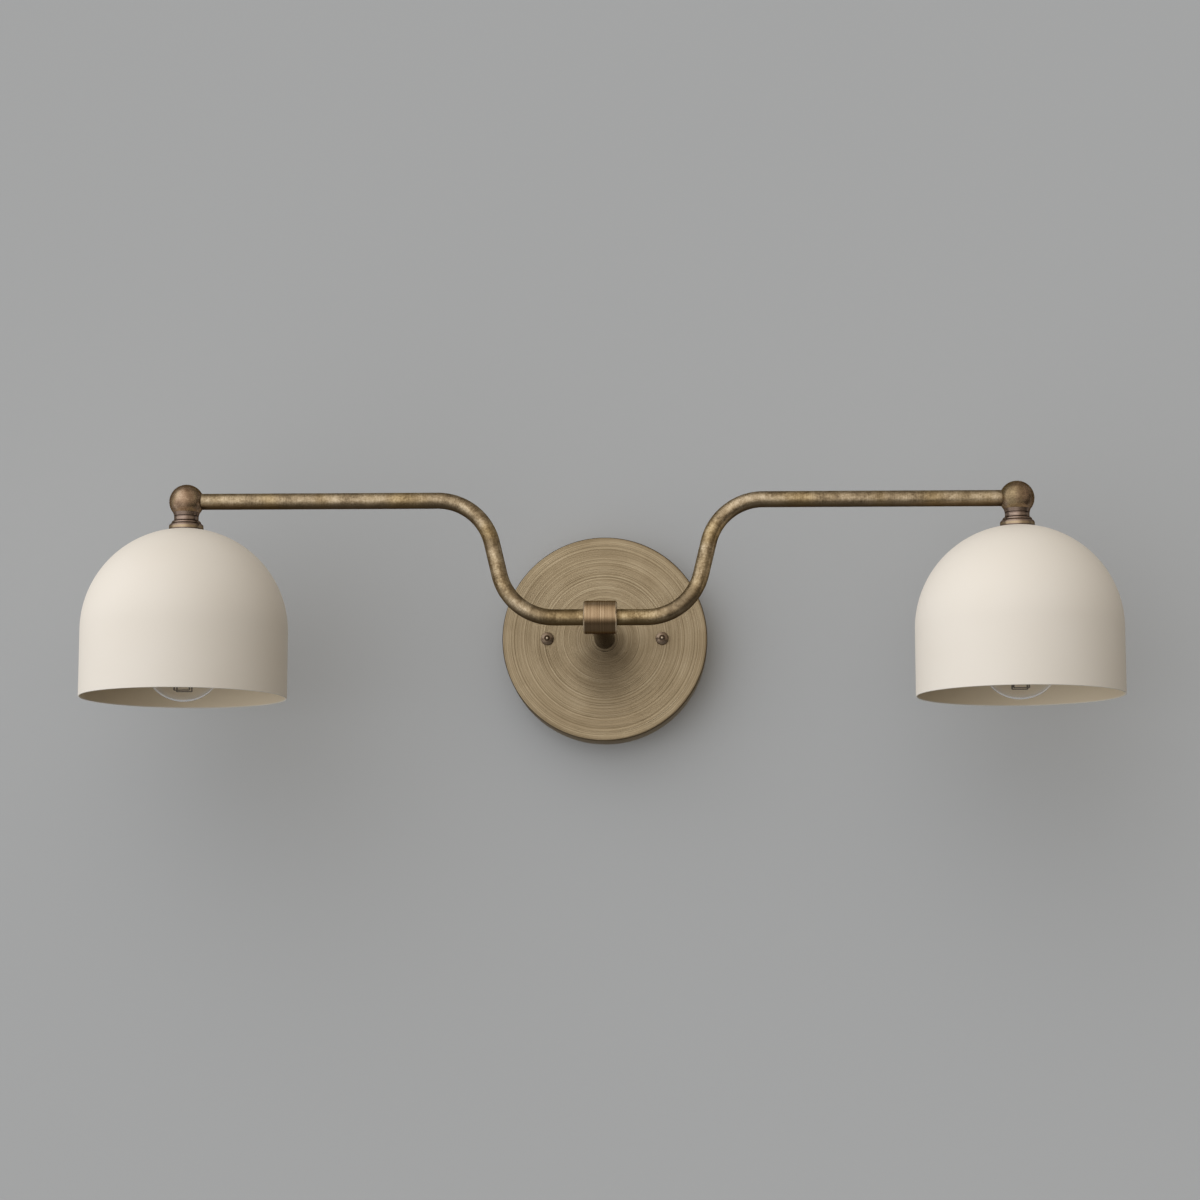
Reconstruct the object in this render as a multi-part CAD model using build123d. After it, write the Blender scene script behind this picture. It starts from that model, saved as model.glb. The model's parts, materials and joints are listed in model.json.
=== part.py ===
from build123d import *
import math
import os

# A double arm wall light: a round backplate, a stem and a short cylindrical hub carry two
# S-bent tube arms, and each arm ends in a ball, a turned neck and a domed metal shade that
# opens downwards over a screw-in bulb.
#
# Millimetres. +Z is up, +X is to the right seen from the room. The wall is the plane Y = 0
# and the light stands out from it along -Y. The origin is the middle of the wall bracket's
# back face.

# Fits between pieces
THREAD_GAP = 0.05       # radial gap of a screwed or slipped joint, its threads left plain
FACE_GAP = 0.05         # between flat faces that turn on each other
BULB_GAP = 0.3          # radial gap between a bulb's cap and its socket

# Backplate, a dish of turned sheet brass
PLATE_D = 127.0
PLATE_DEPTH = 25.4
PLATE_WALL = 1.2
PLATE_EDGE_R = 1.1      # roundness of the front edge

# Wall bracket: a slotted bar on the wiring box, and a bar with two studs that turns on it
BAR_T = 2.0
BOX_BAR_W = 25.0
BOX_BAR_LENGTH = 102.0
STUD_BAR_W = 16.0
STUD_BAR_LENGTH = 90.0
BOX_SCREWS_NEAR = 69.85     # the two spacings of a wiring box's screws
BOX_SCREWS_FAR = 88.9
SLOT_R = 2.4
EYELET_R = 7.0
EYELET_BORE_R = 5.1
EYELET_LIP = 1.6
EYELET_LIP_T = 0.8

# Studs and cap nuts that hold the backplate
STUD_SPACING = 71.1
STUD_D = 4.166
STUD_BACK = 1.5         # the stud's end stands this far off the wall
STUD_GRIP = 2.6         # thread length inside a cap nut
NUT_D = 8.0
NUT_BAND = 1.6          # height of the nut's straight band
NUT_H = 4.6
NUT_TIP_R = 0.9

# Stem and what clamps it to the backplate
STEM_D = 12.7
STEM_BORE_R = 4.0
STEM_RING_D = 16.0
STEM_RING_T = 1.0
PIPE_D = 10.2           # outside of every threaded nipple
PIPE_BORE_R = 3.5
PIPE_IN_STEM = 12.0
PIPE_BEHIND = 6.7       # how far the nipple reaches into the dish
WASHER_D = 19.0
WASHER_T = 1.2
LOCKNUT_AF = 14.3
LOCKNUT_T = 3.0

# Hub
HUB_OUT = 127.0         # wall to the hub's axis
HUB_D = 19.5
HUB_L = 19.5
HUB_CHAMFER = 0.7
HUB_WEB = 3.3           # half the gap between the two arm ends inside the hub
STEM_SEAT = 6.0         # hub's axis to the stem's end
SET_SCREW_R = 1.5
SET_SCREW_RECESS = 0.6

# Arms
ARM_REACH = 244.0       # hub's middle to a ball's middle, along X
ARM_RISE = 69.5
TUBE_D = 9.525
TUBE_WALL = 1.0
HUB_RUN = 17.2          # straight tube between the hub and the first bend
BEND_R = 33.0
BEND_TURN = 76.5        # degrees

# Balls and turned necks
BALL_D = 20.4
ARM_IN_BALL = 4.9       # ball's middle to the arm's end is BALL_D / 2 less this
NECK_SEAT_R = 7.9       # where the neck's cupped top meets the ball
NECK_COLLAR_H = 2.4     # the tapered collar, down to the first groove
NECK_WAIST_R = 7.2
NECK_WAIST_H = 2.65     # from groove to groove, as are the next two heights
NECK_BEAD_R = 8.7
NECK_BEAD_H = 1.7
NECK_FOOT_R = 10.1
NECK_FOOT_H = 3.85
NECK_SHOULDER_H = 1.7   # the rounded top of the foot
NECK_GROOVE = 0.3       # depth of each groove
NECK_GROOVE_H = 0.4

# Shades
SHADE_D = 121.0
SHADE_WALL = 1.0
SHADE_SKIRT = 39.5      # straight part under the half sphere
SHADE_WASHER_D = 22.0
SHADE_WASHER_T = 1.0

# Sockets
SOCKET_D = 36.0
SOCKET_NECK_D = 31.0    # narrower top of the socket's body
SOCKET_NECK_H = 7.0
SOCKET_WALL = 3.2
SOCKET_THREAD = 4.0     # depth of the threaded hole that takes the nipple
SOCKET_CHAMBER_R = 11.5
SOCKET_CHAMBER_H = 2.5
SOCKET_FLOOR = 2.0
SHELL_T = 0.5
CONTACT_T = 0.4
CONTACT_W = 6.0
RIVET_R = 0.7

# Bulbs
BULB_D = 48.0
BULB_L = 86.8           # cap's contact to the glass tip
CAP_D = 26.0
CAP_L = 26.3            # contact to the cap's rim
CAP_PITCH = 3.63
CAP_THREADS = 5
CAP_THREAD_DEPTH = 0.7
CAP_CREST = 0.73        # flat along the top of each thread
CAP_T = 0.6
CAP_BASE_R = 11.0       # the insulator's outer radius
CAP_BASE_H = 3.1
CAP_CONTACT_R = 4.6
CAP_CONTACT_H = 1.2
GLASS_T = 0.8
GLASS_NECK_R = 11.3
GLASS_IN_CAP = 4.0
STALK_R = 2.4           # glass stalk that carries the filament leads
FILAMENT_N = 4
FILAMENT_R = 0.85
FILAMENT_L = 31.0
FILAMENT_TOP_R = 3.4    # the rods stand a little further apart at their lower ends
FILAMENT_FOOT_R = 6.4
FILAMENT_END = 5.6      # their lower ends above the glass tip
LEAD_R = 0.3

# Wiring
WIRE_R = 0.9
WIRE_OFFSET = 1.3       # each conductor from the middle of its tube
WIRE_BEND_R = 5.0
WIRE_TURN_R = 4.0       # in the hub and in the dish
WIRE_PLANE = 12.0       # wall to the wires that rise and fall in the dish
CONNECTOR_START = 20.5
CONNECTOR_L = 17.0
CONNECTOR_MOUTH_R = 5.5
CONNECTOR_TIP_R = 4.0
CONNECTOR_FLARE_R = 3.4     # its bore at the mouth; further in it grips the wires
CONNECTOR_BORE_H = 10.0
WIRE_IN_CONNECTOR = 7.5

# Earth lead and its screw
EARTH_X = 20.0
EARTH_SCREW_R = 2.4
EARTH_WASHER_R = 5.5
EARTH_WASHER_T = 1.0
EARTH_HEX_AF = 8.0
EARTH_HEX_H = 3.0
EARTH_END = 0.6         # the screw's end stays this far off the wall
RING_T = 0.8
RING_BAND = 3.2
LEAD_SWING = 11.0       # how far the lead's loop passes the screw

# Worked out from the above
plate_inside = PLATE_DEPTH - PLATE_WALL
stem_end = HUB_OUT - STEM_SEAT
thread_r = PIPE_D / 2 + THREAD_GAP
tube_r = TUBE_D / 2
tube_bore_r = tube_r - TUBE_WALL
ball_r = BALL_D / 2
turn = math.radians(BEND_TURN)
bend_tangent = BEND_R * math.tan(turn / 2)
bend_start = HUB_L / 2 + HUB_RUN
slope_run = (ARM_RISE - 2 * BEND_R * (1 - math.cos(turn))) / math.sin(turn) + 2 * bend_tangent
low_corner = bend_start + bend_tangent
high_corner = low_corner + slope_run * math.cos(turn)
arm_end = ARM_REACH - ball_r + ARM_IN_BALL

# Depths under a ball's middle, all positive downwards
shade_r = SHADE_D / 2
seat_drop = math.sqrt(ball_r**2 - NECK_SEAT_R**2)
waist_drop = seat_drop + NECK_COLLAR_H
bead_drop = waist_drop + NECK_WAIST_H
foot_top_drop = bead_drop + NECK_BEAD_H
foot_drop = foot_top_drop + NECK_FOOT_H
dome_drop = foot_drop + math.sqrt(shade_r**2 - NECK_FOOT_R**2)
washer_drop = dome_drop - math.sqrt((shade_r - SHADE_WALL) ** 2 - (SHADE_WASHER_D / 2) ** 2)
locknut_drop = washer_drop + SHADE_WASHER_T
socket_drop = locknut_drop + LOCKNUT_T
chamber_drop = socket_drop + SOCKET_THREAD
floor_drop = chamber_drop + SOCKET_CHAMBER_H
cavity_drop = floor_drop + SOCKET_FLOOR
bulb_drop = cavity_drop + CONTACT_T + BULB_GAP
pipe_top = ball_r - ARM_IN_BALL - WIRE_OFFSET
shell_r = CAP_D / 2 + BULB_GAP
cap_rim_drop = bulb_drop + CAP_L
tip_drop = bulb_drop + BULB_L


def ring(outer_r, inner_r, top, bottom):
    """A ring about Z between two heights."""
    middle = Pos(0, 0, (top + bottom) / 2)
    return middle * (Cylinder(outer_r, top - bottom) - Cylinder(inner_r, top - bottom))


def turned(edges):
    """Turns a closed outline in the XZ plane about Z."""
    return revolve(make_face(edges), axis=Axis.Z)


def arc_about(start, end, centre_z, radius):
    """Arc in the XZ plane between two points of a circle whose middle is on Z."""
    angles = [math.atan2(z - centre_z, x) for x, _, z in (start, end)]
    middle = sum(angles) / 2
    through = (radius * math.cos(middle), 0, centre_z + radius * math.sin(middle))
    return ThreePointArc(start, through, end)


def turned_corners(corners):
    """Turns an outline of straight lines, given as (radius, height) corners, about Z."""
    return turned(Polyline(*[(r, 0, z) for r, z in corners], close=True))


def outward(shape, x=0.0, z=0.0, distance=0.0):
    """Stands a piece that was made along +Z out of the wall along -Y."""
    return Pos(x, -distance, z) * (Rot(90, 0, 0) * shape)


def rod(start, end, radius):
    """A straight round rod between two points."""
    path = Line(start, end)
    return sweep(Plane(origin=path @ 0, z_dir=path % 0) * Circle(radius), path=path)


def round_tube(path, radius):
    return sweep(Plane(origin=path @ 0, z_dir=path % 0) * Circle(radius), path=path)


def hex_prism(across_flats, top, bottom):
    outline = RegularPolygon(across_flats / 2, 6, major_radius=False)
    return Pos(0, 0, bottom) * extrude(outline, top - bottom)


def pipe(top, bottom):
    """Threaded nipple between two heights, its thread left plain."""
    return ring(PIPE_D / 2, PIPE_BORE_R, top, bottom)


def locknut(top):
    body = hex_prism(LOCKNUT_AF, top, top - LOCKNUT_T)
    return body - Pos(0, 0, top - LOCKNUT_T / 2) * Cylinder(thread_r, LOCKNUT_T)


# ---- wall bracket ----


def box_bar():
    """Slotted bar on the wiring box, with the eyelet that the stud bar turns on."""
    bar = Pos(0, -BAR_T / 2, 0) * Box(BOX_BAR_W, BAR_T, BOX_BAR_LENGTH)
    lip_start = 2 * BAR_T + 2 * FACE_GAP
    lip_end = lip_start + EYELET_LIP_T
    eyelet = ring(EYELET_R, EYELET_BORE_R, lip_end, 0)
    lip = ring(EYELET_R + EYELET_LIP, EYELET_BORE_R, lip_end, lip_start)
    bar -= Pos(0, -BAR_T / 2, 0) * Rot(90, 0, 0) * Cylinder(EYELET_BORE_R, BAR_T)
    slot_middle = (BOX_SCREWS_NEAR + BOX_SCREWS_FAR) / 4
    slot_run = (BOX_SCREWS_FAR - BOX_SCREWS_NEAR) / 2
    slot = extrude(SlotCenterToCenter(slot_run, 2 * SLOT_R, rotation=90), BAR_T)
    for end in (-1, 1):
        bar -= outward(slot, z=end * slot_middle)
    return bar + outward(eyelet) + outward(lip)


def stud_bar():
    """Bar across the box bar. It carries both studs and the earth screw."""
    middle = BAR_T * 1.5 + FACE_GAP
    bar = Pos(0, -middle, 0) * Box(STUD_BAR_LENGTH, BAR_T, STUD_BAR_W)
    holes = [(0, EYELET_R + THREAD_GAP), (EARTH_X, EARTH_SCREW_R + THREAD_GAP)]
    holes += [(end * STUD_SPACING / 2, STUD_D / 2 + THREAD_GAP) for end in (-1, 1)]
    for x, radius in holes:
        bar -= Pos(x, -middle, 0) * Rot(90, 0, 0) * Cylinder(radius, BAR_T)
    return bar


def canopy_studs():
    length = PLATE_DEPTH + STUD_GRIP - STUD_BACK
    stud = Pos(0, 0, length / 2) * Cylinder(STUD_D / 2, length)
    return [outward(stud, x=end * STUD_SPACING / 2, distance=STUD_BACK) for end in (-1, 1)]


def cap_nut(end):
    """Cap nut with a straight band and a coned, round-tipped top."""
    radius = NUT_D / 2
    slope = math.atan2(NUT_H - NUT_BAND, radius)
    tip_tangent = NUT_TIP_R * math.sin(slope)
    tip_height = NUT_H - tip_tangent * math.tan(slope)
    arc_top = tip_height + NUT_TIP_R * (1 - math.cos(slope))
    edges = [
        Line((0, 0, 0), (radius, 0, 0)),
        Line((radius, 0, 0), (radius, 0, NUT_BAND)),
        Line((radius, 0, NUT_BAND), (tip_tangent, 0, tip_height)),
        arc_about((tip_tangent, 0, tip_height), (0, 0, arc_top), arc_top - NUT_TIP_R, NUT_TIP_R),
        Line((0, 0, arc_top), (0, 0, 0)),
    ]
    nut = turned(edges)
    hole_depth = STUD_GRIP + FACE_GAP
    nut -= Pos(0, 0, hole_depth / 2) * Cylinder(STUD_D / 2 + THREAD_GAP, hole_depth)
    return outward(nut, x=end * STUD_SPACING / 2, distance=PLATE_DEPTH)


def earth_screw():
    head_back = 2 * BAR_T + FACE_GAP + RING_T
    shank = Pos(0, 0, (EARTH_END + head_back) / 2) * Cylinder(EARTH_SCREW_R, head_back - EARTH_END)
    washer = Pos(0, 0, head_back + EARTH_WASHER_T / 2) * Cylinder(EARTH_WASHER_R, EARTH_WASHER_T)
    head_top = head_back + EARTH_WASHER_T + EARTH_HEX_H
    head = hex_prism(EARTH_HEX_AF, head_top, head_back)
    return outward(shank + washer + head, x=EARTH_X)


# ---- backplate, stem and hub ----


def backplate():
    """Turned dish, open at the wall, with holes for the nipple and both studs."""
    outer, depth, edge = PLATE_D / 2, PLATE_DEPTH, PLATE_EDGE_R
    inner = outer - PLATE_WALL
    hole = PIPE_D / 2 + THREAD_GAP
    front, side = (outer - edge, 0, depth), (outer, 0, depth - edge)
    back = [(outer, 0, 0), (inner, 0, 0), (inner, 0, plate_inside), (hole, 0, plate_inside)]
    edges = [TangentArc(front, side, tangent=(1, 0, 0)), Polyline(side, *back, (hole, 0, depth), front)]
    dish = turned(edges)
    stud_hole = Cylinder(STUD_D / 2 + THREAD_GAP, 2 * depth)
    for side in (-1, 1):
        dish -= Pos(side * STUD_SPACING / 2, 0, depth) * stud_hole
    return outward(dish)


def stem_ring():
    return outward(ring(STEM_RING_D / 2, STEM_D / 2 + THREAD_GAP, STEM_RING_T, 0), distance=PLATE_DEPTH)


def stem():
    length = stem_end - PLATE_DEPTH
    tube = ring(STEM_D / 2, STEM_BORE_R, length, 0)
    tube -= Pos(0, 0, PIPE_IN_STEM / 2) * Cylinder(thread_r, PIPE_IN_STEM)
    return outward(tube, distance=PLATE_DEPTH)


def centre_nipple():
    return outward(pipe(PLATE_DEPTH + PIPE_IN_STEM, plate_inside - PIPE_BEHIND))


def centre_washer():
    return outward(ring(WASHER_D / 2, thread_r, plate_inside, plate_inside - WASHER_T))


def centre_locknut():
    top = plate_inside - WASHER_T - RING_T
    return outward(locknut(top))


def hub():
    """Cylinder along X that takes an arm in each end and the stem in its back."""
    body = Rot(0, 90, 0) * Cylinder(HUB_D / 2, HUB_L)
    body = chamfer(body.edges(), HUB_CHAMFER)
    arm_depth = HUB_L / 2 - HUB_WEB
    for side in (-1, 1):
        middle = side * (HUB_WEB + arm_depth / 2)
        body -= Pos(middle, 0, 0) * Rot(0, 90, 0) * Cylinder(tube_r + THREAD_GAP, arm_depth)
        body -= Pos(middle, 0, HUB_D / 4) * Cylinder(SET_SCREW_R + THREAD_GAP, HUB_D / 2)
    body -= Rot(0, 90, 0) * Cylinder(tube_bore_r, HUB_L)
    body -= Pos(0, (STEM_SEAT + HUB_D / 2) / 2, 0) * Rot(90, 0, 0) * Cylinder(
        STEM_D / 2 + THREAD_GAP, HUB_D / 2 - STEM_SEAT
    )
    body -= Pos(0, STEM_SEAT / 2, 0) * Rot(90, 0, 0) * Cylinder(STEM_BORE_R, STEM_SEAT)
    return Pos(0, -HUB_OUT, 0) * body


def hub_set_screws():
    """Two headless screws in the top of the hub that lock the arms."""
    arm_depth = HUB_L / 2 - HUB_WEB
    top = HUB_D / 2 - SET_SCREW_RECESS
    bottom = tube_r + THREAD_GAP
    screw = Pos(0, 0, (top + bottom) / 2) * Cylinder(SET_SCREW_R, top - bottom)
    screw -= hex_prism(SET_SCREW_R, top, (top + bottom) / 2)
    places = [side * (HUB_WEB + arm_depth / 2) for side in (-1, 1)]
    return [Pos(x, -HUB_OUT, 0) * screw for x in places]


# ---- arms, balls and necks ----


def arm():
    """Right arm: hub, two tangent bends, ball."""
    points = [(HUB_WEB, 0, 0), (low_corner, 0, 0), (high_corner, 0, ARM_RISE), (arm_end, 0, ARM_RISE)]
    path = FilletPolyline(*points, radius=BEND_R)
    return Pos(0, -HUB_OUT, 0) * (round_tube(path, tube_r) - round_tube(path, tube_bore_r))


def ball():
    """Drilled ball, with the arm's hole on its -X side and the nipple's hole below."""
    arm_stop = ball_r - ARM_IN_BALL
    arm_hole = Rot(0, 90, 0) * Cylinder(tube_r + THREAD_GAP, ARM_IN_BALL)
    body = Sphere(ball_r) - Pos(-arm_stop - ARM_IN_BALL / 2, 0, 0) * arm_hole
    body -= Pos(-arm_stop / 2, 0, 0) * Rot(0, 90, 0) * Cylinder(PIPE_BORE_R, arm_stop)
    body -= Sphere(PIPE_BORE_R)
    body -= Pos(0, 0, -pipe_top / 2) * Cylinder(PIPE_BORE_R, pipe_top)
    return body - Pos(0, 0, -(pipe_top + ball_r) / 2) * Cylinder(thread_r, ball_r - pipe_top)


def neck():
    """Turned neck between ball and shade: collar, waist, bead and round-shouldered foot."""
    half = NECK_GROOVE_H / 2
    throat_r = NECK_WAIST_R - NECK_GROOVE
    ball_seat = (NECK_SEAT_R, 0, -seat_drop)
    bead_top = (throat_r, 0, -bead_drop)
    bead_foot = (NECK_BEAD_R, 0, -foot_top_drop + half)
    foot_top = (NECK_BEAD_R - NECK_GROOVE, 0, -foot_top_drop)
    foot_wall = (NECK_FOOT_R, 0, -foot_top_drop - NECK_SHOULDER_H)
    foot = (NECK_FOOT_R, 0, -foot_drop)
    upper = [
        ball_seat,
        (NECK_WAIST_R, 0, -waist_drop + half),
        (throat_r, 0, -waist_drop),
        (NECK_WAIST_R, 0, -waist_drop - half),
        (NECK_WAIST_R, 0, -bead_drop + half),
        bead_top,
    ]
    crown_inside = (thread_r, 0, -dome_drop + math.sqrt(shade_r**2 - thread_r**2))
    seat_inside = (thread_r, 0, -math.sqrt(ball_r**2 - thread_r**2))
    edges = [
        Polyline(*upper),
        TangentArc(bead_foot, bead_top, tangent=(0, 0, 1)),
        Line(bead_foot, foot_top),
        TangentArc(foot_wall, foot_top, tangent=(0, 0, 1)),
        Line(foot_wall, foot),
        arc_about(foot, crown_inside, -dome_drop, shade_r),
        Line(crown_inside, seat_inside),
        arc_about(seat_inside, ball_seat, 0, ball_r),
    ]
    return turned(edges)


def shade_nipple():
    return pipe(-pipe_top, -chamber_drop)


def shade_washer():
    return ring(SHADE_WASHER_D / 2, thread_r, -washer_drop, -locknut_drop)


def shade_locknut():
    return locknut(-locknut_drop)


def shade():
    """Spun shell: a half sphere with a straight skirt, open below, holed at the crown."""
    outer, inner = shade_r, shade_r - SHADE_WALL
    outer_crown = (thread_r, 0, math.sqrt(outer**2 - thread_r**2))
    inner_crown = (thread_r, 0, math.sqrt(inner**2 - thread_r**2))
    edges = [
        arc_about(outer_crown, (outer, 0, 0), 0, outer),
        Polyline((outer, 0, 0), (outer, 0, -SHADE_SKIRT), (inner, 0, -SHADE_SKIRT), (inner, 0, 0)),
        arc_about((inner, 0, 0), inner_crown, 0, inner),
        Line(inner_crown, outer_crown),
    ]
    return Pos(0, 0, -dome_drop) * turned(edges)


# ---- sockets ----


def socket_body():
    """Moulded socket: threaded top, wiring chamber, floor, and a deep round mouth."""
    outer, neck_r, wall_r = SOCKET_D / 2, SOCKET_NECK_D / 2, SOCKET_D / 2 - SOCKET_WALL
    wire_hole_r = WIRE_OFFSET + WIRE_R
    outline = [
        (thread_r, -socket_drop),
        (neck_r, -socket_drop),
        (neck_r, -socket_drop - SOCKET_NECK_H),
        (outer, -socket_drop - SOCKET_NECK_H - (outer - neck_r)),
        (outer, -cap_rim_drop),
        (wall_r, -cap_rim_drop),
        (wall_r, -cavity_drop),
        (wire_hole_r, -cavity_drop),
        (wire_hole_r, -floor_drop),
        (SOCKET_CHAMBER_R, -floor_drop),
        (SOCKET_CHAMBER_R, -chamber_drop),
        (thread_r, -chamber_drop),
    ]
    body = turned_corners(outline)
    strip_slot = Box(4 * SHELL_T, CONTACT_W, 2 * SOCKET_FLOOR)
    return body - Pos(-SOCKET_CHAMBER_R + 2 * SHELL_T, 0, -floor_drop) * strip_slot


def socket_shell():
    """Brass screw shell, with a strip that rises through the floor to a wire."""
    depth = cap_rim_drop - cavity_drop
    body = ring(shell_r + SHELL_T, shell_r, -cavity_drop, -cavity_drop - depth)
    body += ring(shell_r + SHELL_T, SOCKET_CHAMBER_R - 3 * SHELL_T, -cavity_drop, -cavity_drop - SHELL_T)
    riser_x = -SOCKET_CHAMBER_R + 2 * SHELL_T
    strip_top = -floor_drop + SHELL_T
    riser_h = strip_top + cavity_drop + SHELL_T
    body += Pos(riser_x, 0, strip_top - riser_h / 2) * Box(SHELL_T, CONTACT_W / 2, riser_h)
    strip_end = -WIRE_OFFSET + WIRE_R / 2
    strip_l = strip_end - riser_x + SHELL_T / 2
    strip = Box(strip_l, WIRE_R * 2, SHELL_T)
    return body + Pos(strip_end - strip_l / 2, 0, strip_top - SHELL_T / 2) * strip


def socket_contact():
    """Brass leaf on the socket's floor with a rivet up to the other wire."""
    leaf = Pos(0, 0, -cavity_drop - CONTACT_T / 2) * Box(2 * CAP_CONTACT_R, CONTACT_W, CONTACT_T)
    rivet_top = -floor_drop + SHELL_T
    rivet_h = rivet_top + cavity_drop
    return leaf + Pos(WIRE_OFFSET, 0, rivet_top - rivet_h / 2) * Cylinder(RIVET_R, rivet_h)


# ---- bulbs ----


def bulb_contact():
    """Low solder dome on the end of the cap."""
    radius = (CAP_CONTACT_R**2 + CAP_CONTACT_H**2) / (2 * CAP_CONTACT_H)
    dome = Pos(0, 0, -bulb_drop - radius) * Sphere(radius)
    top = -bulb_drop
    return dome & Pos(0, 0, top - CAP_CONTACT_H / 2) * Cylinder(CAP_CONTACT_R, CAP_CONTACT_H)


def bulb_insulator():
    top = -bulb_drop - CAP_CONTACT_H
    corners = [(0, top), (CAP_CONTACT_R, top), (CAP_BASE_R, top - CAP_BASE_H), (0, top - CAP_BASE_H)]
    return turned_corners(corners)


def bulb_cap():
    """Thin metal screw cap with rounded threads, made as rings."""
    top = -bulb_drop - CAP_CONTACT_H - CAP_BASE_H
    crest, root = CAP_D / 2, CAP_D / 2 - CAP_THREAD_DEPTH
    inner = root - CAP_T
    start = top - CAP_T
    outside = [(CAP_BASE_R, top), (root, start)]
    for thread in range(CAP_THREADS):
        z = start - thread * CAP_PITCH
        flank = (CAP_PITCH - CAP_CREST) / 2
        outside += [(crest, z - flank), (crest, z - flank - CAP_CREST), (root, z - CAP_PITCH)]
    outside.append((root, -cap_rim_drop))
    inside = [(inner, -cap_rim_drop), (inner, start), (CAP_BASE_R - CAP_T, start), (CAP_BASE_R - CAP_T, top)]
    return turned_corners(outside + inside)


def bulb_glass():
    """Clear envelope: neck in the cap, pear-shaped shoulder and a round end."""
    belly_drop = tip_drop - BULB_D / 2
    rise = belly_drop - cap_rim_drop

    def envelope(inset):
        belly = BULB_D / 2 - inset
        neck_r = GLASS_NECK_R - inset
        neck_top = (neck_r, 0, -cap_rim_drop + GLASS_IN_CAP)
        neck_end = (neck_r, 0, -cap_rim_drop)
        shoulder = ((neck_r + belly) / 2, 0, -cap_rim_drop - rise / 2)
        widest = (belly, 0, -belly_drop)
        tip = (0, 0, -belly_drop - belly)
        return neck_top, tip, [
            Line(neck_top, neck_end),
            Spline(neck_end, shoulder, widest, tangents=((0, 0, -1), (0, 0, -1))),
            arc_about(widest, tip, -belly_drop, belly),
        ]

    outer_top, outer_tip, outer = envelope(0)
    inner_top, inner_tip, inner = envelope(GLASS_T)
    return turned([*outer, Line(outer_tip, inner_tip), *inner, Line(inner_top, outer_top)])


def filament_ends(number):
    """Upper and lower end of one filament rod."""
    angle = math.radians(45 + 360 / FILAMENT_N * number)
    low = -tip_drop + FILAMENT_END
    across = FILAMENT_FOOT_R - FILAMENT_TOP_R
    high = low + math.sqrt(FILAMENT_L**2 - across**2)
    place = math.cos(angle), math.sin(angle)
    upper = (FILAMENT_TOP_R * place[0], FILAMENT_TOP_R * place[1], high)
    lower = (FILAMENT_FOOT_R * place[0], FILAMENT_FOOT_R * place[1], low)
    return upper, lower


def bulb_filaments():
    return [rod(*filament_ends(number), FILAMENT_R) for number in range(FILAMENT_N)]


def bulb_mount():
    """Glass foot and stalk with the metal leads that hold the filament rods."""
    top = -cap_rim_drop + GLASS_IN_CAP
    foot_r = GLASS_NECK_R - GLASS_T
    stalk_end = filament_ends(0)[0][2] + FILAMENT_TOP_R
    foot_end = top - GLASS_IN_CAP
    corners = [(0, top), (foot_r, top), (foot_r, top - GLASS_T), (STALK_R, foot_end - foot_r / 2)]
    corners += [(STALK_R, stalk_end), (0, stalk_end)]
    mount = turned_corners(corners)
    for number in range(FILAMENT_N):
        upper = Vector(*filament_ends(number)[0]) + Vector(0, 0, LEAD_R + FACE_GAP)
        mount += rod((0, 0, stalk_end + STALK_R), upper, LEAD_R)
    return mount


def bulb_bridges():
    """Short metal links that join the rods in pairs at their lower ends."""
    bridges = []
    for pair in range(0, FILAMENT_N, 2):
        ends = [Vector(*filament_ends(number)[1]) for number in (pair, pair + 1)]
        down = Vector(0, 0, -LEAD_R - 2 * FACE_GAP)
        bridges.append(rod(ends[0] + down, ends[1] + down, LEAD_R))
    return bridges


# ---- wiring ----


def offset_corner(corner, heading_in, heading_out, offset):
    """Moves a corner of a path in the XZ plane so that both its runs shift by offset."""
    normal_in = Vector(-math.sin(heading_in), 0, math.cos(heading_in))
    normal_out = Vector(-math.sin(heading_out), 0, math.cos(heading_out))
    shift = (normal_in + normal_out) * (offset / (1 + normal_in.dot(normal_out)))
    return Vector(*corner) + shift


def wire(offset):
    """One conductor of the right arm, from its connector in the dish to the socket."""
    down = -math.pi / 2
    outside = Vector(0, -HUB_OUT, 0)
    low = offset_corner((low_corner, 0, 0), 0, turn, offset) + outside
    high = offset_corner((high_corner, 0, ARM_RISE), turn, 0, offset) + outside
    over_shade = offset_corner((ARM_REACH, 0, ARM_RISE), 0, down, offset) + outside
    way = 1 if offset > 0 else -1
    x = WIRE_OFFSET
    connector_z = way * (CONNECTOR_START + WIRE_IN_CONNECTOR)
    end = Vector(over_shade.X, over_shade.Y, ARM_RISE - floor_drop + SHELL_T)
    points = [
        (x, -WIRE_PLANE, connector_z),
        (x, -WIRE_PLANE, offset),
        (x, -HUB_OUT, offset),
        low,
        high,
        over_shade,
        end,
    ]
    radii = [WIRE_TURN_R, WIRE_TURN_R, BEND_R - offset, BEND_R + offset, WIRE_BEND_R + offset]
    return round_tube(FilletPolyline(*points, radius=radii), WIRE_R)


def wires():
    return [wire(WIRE_OFFSET), wire(-WIRE_OFFSET)]


def wire_connectors():
    """Two twist-on caps, over the live pair above and the neutral pair below."""
    mouth, tip = CONNECTOR_START, CONNECTOR_START + CONNECTOR_L
    grip_r = WIRE_OFFSET + WIRE_R + THREAD_GAP
    corners = [
        (CONNECTOR_FLARE_R, mouth),
        (CONNECTOR_MOUTH_R, mouth),
        (CONNECTOR_TIP_R, tip),
        (0, tip),
        (0, mouth + CONNECTOR_BORE_H),
        (grip_r, mouth + CONNECTOR_BORE_H),
        (grip_r, mouth + CONNECTOR_FLARE_R),
    ]
    upper = turned_corners(corners)
    return [Pos(0, -WIRE_PLANE, 0) * upper, Pos(0, -WIRE_PLANE, 0) * (Rot(180, 0, 0) * upper)]


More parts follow.
